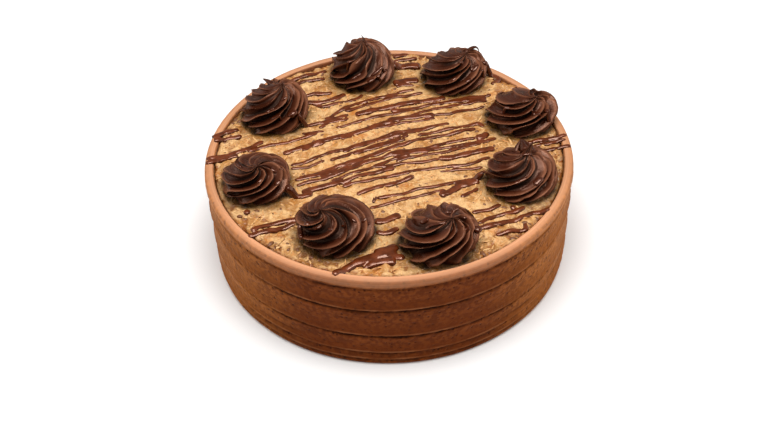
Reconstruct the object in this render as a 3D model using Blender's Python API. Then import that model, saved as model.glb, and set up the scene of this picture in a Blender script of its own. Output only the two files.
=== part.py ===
"""German chocolate cake: an iced round cake, its coconut and pecan topping with chocolate drizzle, and eight piped rosettes.

Metres, +Z up. The origin is the middle of the flat underside. +X is the right of the cake as it is
looked at, and -Y is its front.
"""

import math
import random
from collections import namedtuple

import bmesh
import bpy
from mathutils import Matrix, Vector, noise

MM = 0.001

# Iced cake: a straight-sided round, 8 inches across under its icing, 2.5 inches tall.
CAKE_DIAMETER = 0.208
CAKE_HEIGHT = 0.0635
CAKE_STEPS = 60
FOOT_FILLET = 0.0016
COMB_RIDGE_HEIGHTS = (0.0047, 0.0101, 0.0232, 0.0424, 0.0586)
COMB_BAND_DEPTH = 0.0008
COMB_STEP_DEPTH = 0.0006
COMB_STEP_HEIGHT = 0.0008
LIP_WIDTH = 0.0056
LIP_CROWN_FACETS = 5
LIP_SHOULDER_DROP = 0.0030
LIP_INNER_DROP = 0.0016
RECESS_DEPTH = 0.0070
FIT_GAP = 0.0003

# Coconut and pecan topping: a spread disc that fills the recess to just under the lip.
TOPPING_LEVEL = 0.0612
TOPPING_EDGE_ROUND = 0.0009
TOPPING_STEPS = 48
TOPPING_RINGS = 8
LUMP_HEIGHT = 0.0011
LUMP_LENGTH = 0.013
EDGE_LUMP_GAIN = 0.9
SEAT_MARGINS_UP = (0.006, 0.016)
SEAT_MARGINS_DOWN = (0.000, 0.005)
PECAN_BITS = 30
PECAN_SIZE = 0.0016
PECAN_SINK = 0.2
COCONUT_SHREDS = 20
SHRED_LENGTH = 0.0060
SHRED_WIDTH = 0.0012
GARNISH_CLEARANCE = 0.0015
SCATTER_SEED = 7

# Drizzle: strands that run up to the right, clear of the rosettes.
DRIZZLE_STEP = 0.0085
DRIZZLE_WOBBLE = 0.0009
DRIZZLE_WOBBLE_LENGTH = 0.014
DRIZZLE_SINK = 0.25
DRIZZLE_CLEARANCE = 0.0009
DRIZZLE_END_TAPER = 0.7
DRIZZLE_SIDES_RESOLUTION = 1
# A strand's two ends, how far its middle bows out above the line between them, and its width; millimetres.
Strand = namedtuple("Strand", "x y end_x end_y bow width")
DRIZZLE_STRANDS = (
    Strand(-98, 16, -87, 27, 0.5, 2.8),
    Strand(-97, 14, -84, 20, 0.0, 3.4),
    Strand(-98, -3, -80, 6, 0.5, 3.4),
    Strand(-79, 5, -42, 20, 0.5, 2.4),
    Strand(-60, 0, 40, 40, 4.0, 2.8),
    Strand(-50, 26, 22, 57, 4.0, 2.6),
    Strand(-20, 36, 38, 53, 1.5, 2.4),
    Strand(0, 35, 60, 47, 1.0, 2.6),
    Strand(-55, -8, 34, 26, 3.0, 2.6),
    Strand(-52, -12, 54, 24, 3.5, 2.6),
    Strand(-52, -21, 15, 8, 2.5, 2.4),
    Strand(-51, -26, 63, 11, 5.0, 2.6),
    Strand(3, -7, 50, 7, 1.5, 2.4),
    Strand(-54, -35, 60, 1, 4.5, 3.4),
    Strand(-25, -29, 57, -6, 1.5, 2.4),
    Strand(-18, -37, 52, -15, 3.5, 2.6),
    Strand(-9, -40, 50, -23, 1.0, 3.2),
    Strand(28, -39, 48, -29, 1.5, 2.8),
    Strand(-62, 70, -36, 85, 1.0, 2.6),
    Strand(-50, 58, -33, 62, 0.0, 2.4),
    Strand(4, 85, 22, 88, 0.0, 3.6),
    Strand(4, 67, 20, 69, 0.0, 3.6),
    Strand(80, 4, 97, 8, 0.0, 2.8),
    Strand(82, -2, 97, 0, 0.5, 2.6),
    Strand(60, 72, 68, 69, 0.5, 3.2),
    Strand(-75, -64, -48, -50, 0.0, 2.8),
    Strand(-28, -91, 6, -82, 2.0, 3.6),
    Strand(-8, -60, 5, -52, 0.0, 2.8),
    Strand(45, -62, 74, -49, 1.5, 2.6),
    Strand(46, -66, 84, -53, 0.0, 3.0),
)

# Rosettes: a star-mouthed nozzle's swirl, tucked in at its foot, with its folds turning clockwise outwards.
ROSETTE_FOOT_ANGLE = math.radians(-24)
ROSETTE_TOP_ANGLE = math.radians(80)
ROSETTE_RINGS = 9
ROSETTE_FOLD_DEPTH = 0.25
ROSETTE_CREST_SHARPNESS = 0.85
ROSETTE_FOLD_STEEPNESS = 0.5
ROSETTE_FLAT_FOOT = 0.35
DOME_MIDDLE = 1e-6
ROSETTE_LEAN_CURVE = 2.2
LIP_REST_RISE = 0.0005
LIP_REST_SLOPE = 0.45
POINTS_PER_FOLD = 4
# How a rosette is set: place of its foot, radius at its widest, height of its dome and of the peak drawn out
# of it (millimetres); number of folds; how far they turn, and the side its middle leans to (degrees); the
# lean as a part of the radius; how uneven its folds are.
Rosette = namedtuple("Rosette", "x y radius dome peak folds turn heading lean uneven")
ROSETTES = (
    Rosette(-67.0, 37.5, 20.4, 20.0, 1.2, 9, 150, 30, 0.38, 0.12),
    Rosette(-14.7, 77.5, 20.6, 20.5, 1.5, 9, 130, 80, 0.25, 0.14),
    Rosette(40.8, 71.0, 20.4, 17.0, 2.0, 9, 135, 0, 0.45, 0.12),
    Rosette(77.4, 28.2, 20.8, 17.5, 0.8, 8, 150, -30, 0.45, 0.10),
    Rosette(71.0, -28.3, 20.2, 16.5, 6.0, 9, 140, 45, 0.45, 0.08),
    Rosette(23.2, -74.4, 20.6, 20.0, 1.5, 9, 120, -30, 0.45, 0.12),
    Rosette(-28.2, -65.0, 20.7, 21.0, 1.0, 9, 170, -140, 0.45, 0.08),
    Rosette(-72.8, -24.2, 19.8, 18.0, 1.0, 9, 160, -70, 0.40, 0.10),
)

CAKE_RADIUS = CAKE_DIAMETER / 2
RECESS_RADIUS = CAKE_RADIUS - LIP_WIDTH
TOPPING_RADIUS = RECESS_RADIUS - FIT_GAP
TOPPING_FLOOR = CAKE_HEIGHT - RECESS_DEPTH + FIT_GAP
SEAT_LEVEL = TOPPING_LEVEL


# Shared helpers -------------------------------------------------------------------------------------

def clear_scene():
    """Empty the scene of whatever it holds."""
    for found in list(bpy.data.objects):
        bpy.data.objects.remove(found, do_unlink=True)


def make_material(name, colour, roughness):
    """A plain food finish: colour and roughness, no metal."""
    material = bpy.data.materials.new(name)
    material.use_nodes = True
    shader = material.node_tree.nodes["Principled BSDF"]
    shader.inputs["Base Color"].default_value = (*colour, 1.0)
    shader.inputs["Roughness"].default_value = roughness
    shader.inputs["Metallic"].default_value = 0.0
    return material


def add_object(name, form, material, place=(0, 0, 0), smooth_angle=math.radians(40)):
    """Turn a bmesh into a named, smooth-shaded object that stands at its place."""
    mesh = bpy.data.meshes.new(name)
    form.to_mesh(mesh)
    form.free()
    mesh.shade_smooth()
    mesh.set_sharp_from_angle(angle=smooth_angle)
    if material:
        mesh.materials.append(material)
    made = bpy.data.objects.new(name, mesh)
    made.location = place
    bpy.context.scene.collection.objects.link(made)
    return made


def turned(profile, steps):
    """Spin a profile of (radius, height) points, from the axis and back to it, into a closed solid."""
    form = bmesh.new()
    points = [form.verts.new((radius, 0, height)) for radius, height in profile]
    edges = [form.edges.new(pair) for pair in zip(points, points[1:])]
    bmesh.ops.spin(form, geom=points + edges, cent=(0, 0, 0), axis=(0, 0, 1), dvec=(0, 0, 0),
                   angle=math.tau, steps=steps, use_merge=True, use_normal_flip=False, use_duplicate=False)
    bmesh.ops.remove_doubles(form, verts=form.verts, dist=1e-6)
    bmesh.ops.recalc_face_normals(form, faces=form.faces)
    return form


def blend(value, low, high):
    """0 at or under low, 1 at or over high, smooth between."""
    part = min(max((value - low) / (high - low), 0.0), 1.0)
    return part * part * (3 - 2 * part)


# Iced cake ------------------------------------------------------------------------------------------

def cake_profile():
    """The outline from the middle of the underside, up the combed wall, over the lip and into the recess."""
    outline = [(0, 0), (CAKE_RADIUS - FOOT_FILLET, 0)]
    bands = list(zip(COMB_RIDGE_HEIGHTS, COMB_RIDGE_HEIGHTS[1:] + (CAKE_HEIGHT,)))
    for ridge, _ in bands[:1]:
        outline.append((CAKE_RADIUS - COMB_STEP_DEPTH, FOOT_FILLET))
    for ridge, above in bands:
        outline.append((CAKE_RADIUS - COMB_STEP_DEPTH, ridge - COMB_STEP_HEIGHT))
        outline.append((CAKE_RADIUS, ridge))
        if above < CAKE_HEIGHT:
            outline.append((CAKE_RADIUS - COMB_BAND_DEPTH, (ridge + above) / 2))
    outline += lip_profile()
    outline += [(RECESS_RADIUS, CAKE_HEIGHT - RECESS_DEPTH), (0, CAKE_HEIGHT - RECESS_DEPTH)]
    return outline


def lip_profile():
    """The rounded crown of the lip, from its outer shoulder to its inner edge."""
    middle = LIP_WIDTH / 2
    points = []
    for facet in range(LIP_CROWN_FACETS + 1):
        angle = math.pi * facet / LIP_CROWN_FACETS
        outer_half = angle <= math.pi / 2
        drop = LIP_SHOULDER_DROP if outer_half else LIP_INNER_DROP
        points.append((CAKE_RADIUS - middle + middle * math.cos(angle),
                       CAKE_HEIGHT - drop * (1 - math.sin(angle))))
    return points


def make_cake(material):
    return add_object("cake", turned(cake_profile(), CAKE_STEPS), material)


# Topping --------------------------------------------------------------------------------------------

def rosette_distance(x, y):
    """How far a spot is outside the nearest rosette's widest ring; negative under a rosette."""
    return min(math.hypot(x - rosette.x * MM, y - rosette.y * MM) - rosette.radius * MM for rosette in ROSETTES)


def topping_height(x, y):
    """Height of the spread: lumps drawn out along the drizzle, rougher by the lip, level under the rosettes."""
    along = Vector((x * 0.5 - y * 0.15, y + x * 0.3, 0)) / LUMP_LENGTH
    lumps = noise.noise(along) + 0.5 * noise.noise(along * 2.3)
    gain = 1 + EDGE_LUMP_GAIN * blend(math.hypot(x, y), 0.75 * TOPPING_RADIUS, 0.95 * TOPPING_RADIUS)
    near_seat, far_seat = SEAT_MARGINS_UP if lumps > 0 else SEAT_MARGINS_DOWN
    calm = blend(rosette_distance(x, y), near_seat, far_seat)
    return TOPPING_LEVEL + LUMP_HEIGHT * gain * calm * lumps


def topping_base():
    """The spread alone: a turned disc whose upper side is moved to the height of the spread."""
    ring_gap = (TOPPING_RADIUS - TOPPING_EDGE_ROUND) / TOPPING_RINGS
    outline = [(0, TOPPING_FLOOR), (TOPPING_RADIUS, TOPPING_FLOOR),
               (TOPPING_RADIUS, TOPPING_LEVEL - TOPPING_EDGE_ROUND)]
    outline += [(ring_gap * ring, TOPPING_LEVEL) for ring in range(TOPPING_RINGS, -1, -1)]
    form = turned(outline, TOPPING_STEPS)
    for vert in form.verts:
        if vert.co.z > TOPPING_LEVEL - 1e-6:
            vert.co.z = topping_height(vert.co.x, vert.co.y)
    return form


def strand_place(strand, share, number):
    """A spot on a strand, from 0 at its first end to 1 at its last: a shallow bow with a slight wobble."""
    start, end = Vector((strand.x, strand.y)) * MM, Vector((strand.end_x, strand.end_y)) * MM
    along = end - start
    across = Vector((-along.y, along.x)).normalized()
    wobble = DRIZZLE_WOBBLE * noise.noise(Vector((share * along.length / DRIZZLE_WOBBLE_LENGTH, number * 3.7, 0)))
    return start + along * share + across * (4 * share * (1 - share) * strand.bow * MM + wobble)


def strand_runs(strand, number):
    """The stretches of one strand that are on the spread and clear of every rosette, as lists of points."""
    half_width = strand.width * MM / 2
    length = math.hypot(strand.end_x - strand.x, strand.end_y - strand.y) * MM
    count = max(2, math.ceil(length / DRIZZLE_STEP))
    runs = [[]]
    for step in range(count + 1):
        spot = strand_place(strand, step / count, number)
        clear = rosette_distance(*spot) > half_width + DRIZZLE_CLEARANCE
        inside = spot.length < TOPPING_RADIUS - half_width - DRIZZLE_CLEARANCE
        if clear and inside:
            runs[-1].append(Vector((*spot, topping_height(*spot) - DRIZZLE_SINK * half_width)))
        else:
            runs.append([])
    return [run for run in runs if len(run) > 1]


def strand_mesh(run, width):
    """One stretch of drizzle as a closed round bead with thinner ends."""
    curve = bpy.data.curves.new("drizzle", "CURVE")
    curve.dimensions = "3D"
    curve.bevel_depth = width / 2
    curve.bevel_resolution = DRIZZLE_SIDES_RESOLUTION
    curve.use_fill_caps = True
    spline = curve.splines.new("POLY")
    spline.points.add(len(run) - 1)
    for number, (point, place) in enumerate(zip(spline.points, run)):
        point.co = (*place, 1.0)
        point.radius = DRIZZLE_END_TAPER if number in (0, len(run) - 1) else 1.0
    return curve_to_mesh(curve)


def curve_to_mesh(curve):
    holder = bpy.data.objects.new(curve.name, curve)
    bpy.context.scene.collection.objects.link(holder)
    mesh = bpy.data.meshes.new_from_object(holder.evaluated_get(bpy.context.evaluated_depsgraph_get()))
    bpy.data.objects.remove(holder, do_unlink=True)
    form = bmesh.new()
    form.from_mesh(mesh)
    bmesh.ops.remove_doubles(form, verts=form.verts, dist=1e-6)
    bmesh.ops.recalc_face_normals(form, faces=form.faces)
    form.to_mesh(mesh)
    form.free()
    return mesh


def scatter_places(draw, count, reach, spacing):
    """Spots on the spread for small toppings, clear of rosettes and strands' thick middles and of each other."""
    places = []
    while len(places) < count:
        radius = TOPPING_RADIUS * math.sqrt(draw.uniform(0.05, 0.93))
        angle = draw.uniform(0, math.tau)
        spot = Vector((radius * math.cos(angle), radius * math.sin(angle)))
        clear = rosette_distance(*spot) > reach + GARNISH_CLEARANCE
        inside = radius < TOPPING_RADIUS - reach
        if clear and inside and all((spot - other).length > spacing for other in places):
            places.append(spot)
    return places


def pecan_mesh(draw, spot):
    """A chopped pecan bit: an uneven lump, half sunk in the spread."""
    form = bmesh.new()
    size = PECAN_SIZE * draw.uniform(0.8, 1.5)
    bmesh.ops.create_icosphere(form, subdivisions=1, radius=size)
    turn = Matrix.Rotation(draw.uniform(0, math.tau), 4, "Z")
    stretch = Matrix.Diagonal((draw.uniform(0.8, 1.3), draw.uniform(0.7, 1.0), draw.uniform(0.6, 0.9), 1.0))
    place = Matrix.Translation((spot.x, spot.y, topping_height(*spot) - PECAN_SINK * size))
    bmesh.ops.transform(form, matrix=place @ turn @ stretch, verts=form.verts)
    return form


def shred_mesh(draw, spot):
    """A coconut shred: a flat strip that bends as it lies, its underside in the spread."""
    form = bmesh.new()
    bend = draw.uniform(-0.9, 0.9)
    heading = draw.uniform(0, math.tau)
    length = SHRED_LENGTH * draw.uniform(0.7, 1.2)
    point = Vector((-length / 2, 0))
    ring = None
    for part in range(4):
        side = Vector((-math.sin(bend * (part - 1.5) / 3), math.cos(bend * (part - 1.5) / 3))) * SHRED_WIDTH / 2
        corners = [form.verts.new((*(point + sign * side), level * SHRED_WIDTH))
                   for sign, level in ((-1, -0.6), (1, -0.6), (1, 0.35), (-1, 0.35))]
        if ring:
            for corner in range(4):
                following = (corner + 1) % 4
                form.faces.new((ring[corner], ring[following], corners[following], corners[corner]))
        else:
            form.faces.new(corners)
        ring = corners
        turn = bend * (part - 1) / 3
        point = point + Vector((math.cos(turn), math.sin(turn))) * length / 3
    form.faces.new(ring)
    bmesh.ops.recalc_face_normals(form, faces=form.faces)
    place = Matrix.Translation((spot.x, spot.y, topping_height(*spot))) @ Matrix.Rotation(heading, 4, "Z")
    bmesh.ops.transform(form, matrix=place, verts=form.verts)
    return form


def make_topping(material):
    """Fuse the drizzle, pecan bits and shreds onto the spread in one union."""
    topping = add_object("coconut_pecan_topping", topping_base(), material)
    garnish = bpy.data.collections.new("garnish")
    bpy.context.scene.collection.children.link(garnish)

    def lay(mesh):
        garnish.objects.link(bpy.data.objects.new("garnish", mesh))

    def lay_form(form):
        mesh = bpy.data.meshes.new("garnish")
        form.to_mesh(mesh)
        form.free()
        lay(mesh)

    for number, strand in enumerate(DRIZZLE_STRANDS):
        for run in strand_runs(strand, number):
            lay(strand_mesh(run, strand.width * MM))
    draw = random.Random(SCATTER_SEED)
    for spot in scatter_places(draw, PECAN_BITS, PECAN_SIZE * 1.5, 3 * PECAN_SIZE):
        lay_form(pecan_mesh(draw, spot))
    for spot in scatter_places(draw, COCONUT_SHREDS, SHRED_LENGTH / 2, SHRED_LENGTH):
        lay_form(shred_mesh(draw, spot))
    fuse(topping, garnish)
    return topping


def fuse(base, pieces):
    """Join every piece of a collection to the base as one solid, and clear the collection away."""
    union = base.modifiers.new("fused", "BOOLEAN")
    union.operation = "UNION"
    union.operand_type = "COLLECTION"
    union.collection = pieces
    union.solver = "MANIFOLD"
    mesh = bpy.data.meshes.new_from_object(base.evaluated_get(bpy.context.evaluated_depsgraph_get()))
    base.modifiers.remove(union)
    base.data = mesh
    for piece in list(pieces.objects):
        bpy.data.objects.remove(piece, do_unlink=True)
    bpy.data.collections.remove(pieces)


# Rosettes -------------------------------------------------------------------------------------------

def dome_outline(radius, dome, peak):
    """The plain dome that a rosette is folded from: tucked at its foot, widest low down, with a small tip."""
    foot = math.sin(ROSETTE_FOOT_ANGLE)
    outline = [(0, 0)]
    for ring in range(ROSETTE_RINGS):
        rise = ROSETTE_FOOT_ANGLE + (ROSETTE_TOP_ANGLE - ROSETTE_FOOT_ANGLE) * ring / (ROSETTE_RINGS - 1)
        outline.append((radius * math.cos(rise), dome * (math.sin(rise) - foot) / (1 - foot)))
    return outline + [(0, dome + peak)]


def rosette_level(height, dome):
    """0 at the foot of a rosette, 1 at its topmost ring, from a height on it."""
    foot = math.sin(ROSETTE_FOOT_ANGLE)
    rise = math.asin(min(1.0, foot + (1 - foot) * height / dome))
    return min(1.0, (rise - ROSETTE_FOOT_ANGLE) / (ROSETTE_TOP_ANGLE - ROSETTE_FOOT_ANGLE))


def press_folds(form, rosette, phase):
    """Press the folds into the dome, square to it: thin crests and deep round valleys that turn as they climb."""
    radius = rosette.radius * MM
    for vert in form.verts:
        reach = math.hypot(vert.co.x, vert.co.y)
        if reach < DOME_MIDDLE:
            continue
        level = rosette_level(vert.co.z, rosette.dome * MM)
        rise = ROSETTE_FOOT_ANGLE + (ROSETTE_TOP_ANGLE - ROSETTE_FOOT_ANGLE) * level
        angle = math.atan2(vert.co.y, vert.co.x)
        fold = round(angle / math.tau * rosette.folds)
        valley = abs(math.sin(angle * rosette.folds / 2)) ** ROSETTE_CREST_SHARPNESS
        wave = 1 + rosette.uneven * (math.sin(fold * 2.4 + phase) + 0.5 * math.sin(3 * level + fold * 1.7))
        fold_spacing = math.tau * reach / rosette.folds
        depth = valley * wave * min(ROSETTE_FOLD_DEPTH * radius, ROSETTE_FOLD_STEEPNESS * fold_spacing)
        reach -= depth * math.cos(rise)
        vert.co.z -= depth * math.sin(rise) * blend(level, 0.0, ROSETTE_FLAT_FOOT)
        swung = angle + math.radians(rosette.turn) * level + phase
        vert.co.x, vert.co.y = reach * math.cos(swung), reach * math.sin(swung)


def lean_middle(form, rosette):
    """Push the middle of a rosette sideways, more the higher it is."""
    heading = math.radians(rosette.heading)
    top = max(vert.co.z for vert in form.verts)
    for vert in form.verts:
        shift = rosette.lean * rosette.radius * MM * (vert.co.z / top) ** ROSETTE_LEAN_CURVE
        vert.co.x += shift * math.cos(heading)
        vert.co.y += shift * math.sin(heading)


def settle_on_lip(form, place):
    """Where a rosette reaches over the lip of the icing, tuck its underside in so that it rests on the lip."""
    for vert in form.verts:
        spot = Vector((vert.co.x + place.x, vert.co.y + place.y))
        over_lip = max(0.0, place.z + vert.co.z - CAKE_HEIGHT - LIP_REST_RISE)
        allowed = TOPPING_RADIUS + over_lip / LIP_REST_SLOPE
        if spot.length > allowed:
            spot *= allowed / spot.length
            vert.co.x, vert.co.y = spot.x - place.x, spot.y - place.y


def make_rosette(number, rosette, material):
    """One rosette on its seat in the spread."""
    place = Vector((rosette.x * MM, rosette.y * MM, SEAT_LEVEL + FIT_GAP))
    outline = dome_outline(rosette.radius * MM, rosette.dome * MM, rosette.peak * MM)
    form = turned(outline, rosette.folds * POINTS_PER_FOLD)
    press_folds(form, rosette, phase=number * 1.3)
    lean_middle(form, rosette)
    settle_on_lip(form, place)
    bmesh.ops.triangulate(form, faces=form.faces)
    return add_object(f"rosette_{number}", form, material, place)


def main():
    clear_scene()
    icing = make_material("chocolate_icing", (0.165, 0.062, 0.034), 0.6)
    spread = make_material("coconut_pecan_spread", (0.56, 0.32, 0.12), 0.5)
    ganache = make_material("piped_chocolate", (0.035, 0.014, 0.010), 0.3)
    make_cake(icing)
    make_topping(spread)
    for number, rosette in enumerate(ROSETTES, start=1):
        make_rosette(number, rosette, ganache)


main()
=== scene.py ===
"""Dress the solids of a German chocolate cake with icing, coconut and pecan spread, drizzle and rosettes.

Metres, +Z up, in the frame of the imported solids. +X is the right of the cake and -Y its front.
"""

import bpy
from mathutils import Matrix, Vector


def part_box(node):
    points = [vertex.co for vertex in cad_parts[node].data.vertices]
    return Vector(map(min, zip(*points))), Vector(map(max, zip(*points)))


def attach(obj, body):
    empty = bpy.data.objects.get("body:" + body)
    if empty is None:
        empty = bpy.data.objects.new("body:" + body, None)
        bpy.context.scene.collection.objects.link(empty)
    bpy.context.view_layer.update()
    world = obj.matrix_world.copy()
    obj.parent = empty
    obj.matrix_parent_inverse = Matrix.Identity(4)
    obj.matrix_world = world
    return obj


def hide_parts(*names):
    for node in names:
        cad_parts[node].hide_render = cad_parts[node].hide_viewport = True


bl_info = {
    "name": "German chocolate cake",
    "version": (1, 0, 0),
    "blender": (4, 5, 0),
    "location": "3D View > Sidebar > Cake",
    "description": "Combed icing, coconut and pecan spread, poured drizzle and piped rosettes for a cake",
    "category": "Object",
}

import math
import random
from collections import namedtuple

import bmesh
import bpy
from bpy.props import FloatProperty, FloatVectorProperty, IntProperty, PointerProperty
from mathutils import Matrix, Vector, noise
from mathutils.bvhtree import BVHTree

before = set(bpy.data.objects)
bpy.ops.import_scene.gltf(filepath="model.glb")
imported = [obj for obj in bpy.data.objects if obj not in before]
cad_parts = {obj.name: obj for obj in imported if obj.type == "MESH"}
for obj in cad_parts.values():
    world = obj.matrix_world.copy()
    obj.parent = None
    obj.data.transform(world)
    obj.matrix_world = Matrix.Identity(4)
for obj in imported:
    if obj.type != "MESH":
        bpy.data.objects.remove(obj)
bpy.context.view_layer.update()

MM = 0.001
MERGE_GAP = 1e-6

# The iced cake, as its solid has it.
CAKE_LOW, CAKE_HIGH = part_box("cake")
CAKE_RADIUS = (CAKE_HIGH.x - CAKE_LOW.x) / 2
CAKE_HEIGHT = CAKE_HIGH.z
LIP_WIDTH = 5.6 * MM
RECESS_DEPTH = 7.0 * MM
RECESS_RADIUS = CAKE_RADIUS - LIP_WIDTH

# The spread that fills the recess.
SPREAD_LEVEL = 61.2 * MM
SPREAD_RADIUS = RECESS_RADIUS - 0.3 * MM
SPREAD_FLOOR = CAKE_HEIGHT - RECESS_DEPTH + 0.3 * MM

# Rosettes: place and sizes in millimetres, turns and headings in degrees, lean as a part of the radius.
Rosette = namedtuple("Rosette", "x y radius dome peak folds turn heading lean uneven")
ROSETTES = (
    Rosette(-67.0, 37.5, 20.4, 20.0, 1.2, 11, 150, 30, 0.38, 0.12),
    Rosette(-14.7, 77.5, 20.6, 20.5, 1.5, 12, 130, 80, 0.25, 0.14),
    Rosette(40.8, 71.0, 20.4, 17.0, 2.0, 11, 135, 0, 0.45, 0.12),
    Rosette(77.4, 28.2, 20.8, 17.5, 0.8, 9, 150, -30, 0.45, 0.10),
    Rosette(71.0, -28.3, 20.2, 16.5, 6.0, 11, 140, 45, 0.45, 0.08),
    Rosette(23.2, -74.4, 20.6, 20.0, 1.5, 11, 120, -30, 0.45, 0.12),
    Rosette(-28.2, -65.0, 20.7, 21.0, 1.0, 10, 170, -140, 0.45, 0.08),
    Rosette(-72.8, -24.2, 19.8, 18.0, 1.0, 10, 160, -70, 0.40, 0.10),
)
# Thin curls where the nozzle left a rosette: its number, where the curl starts, bends and ends, and its
# width; millimetres.
Wisp = namedtuple("Wisp", "rosette root bend tip width")
WISPS = (
    Wisp(1, (-66, 46, 77), (-69.5, 50, 78.5), (-73, 52.5, 78.2), 5.0),
    Wisp(2, (-11, 80, 80.5), (-12, 84, 82.8), (-14.5, 88.5, 83.4), 2.2),
    Wisp(3, (48, 76, 75), (56.2, 83.5, 79.6), (57.5, 79, 75), 3.2),
    Wisp(5, (69, -20, 74.5), (70.5, -17, 77.5), (72, -14.5, 79.5), 5.0),
    Wisp(5, (73.5, -23.5, 78), (73, -18, 79.7), (72, -14.5, 79.6), 6.0),
    Wisp(5, (77.5, -24, 77), (75, -18, 80), (72, -14.5, 79.7), 5.0),
)

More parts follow.
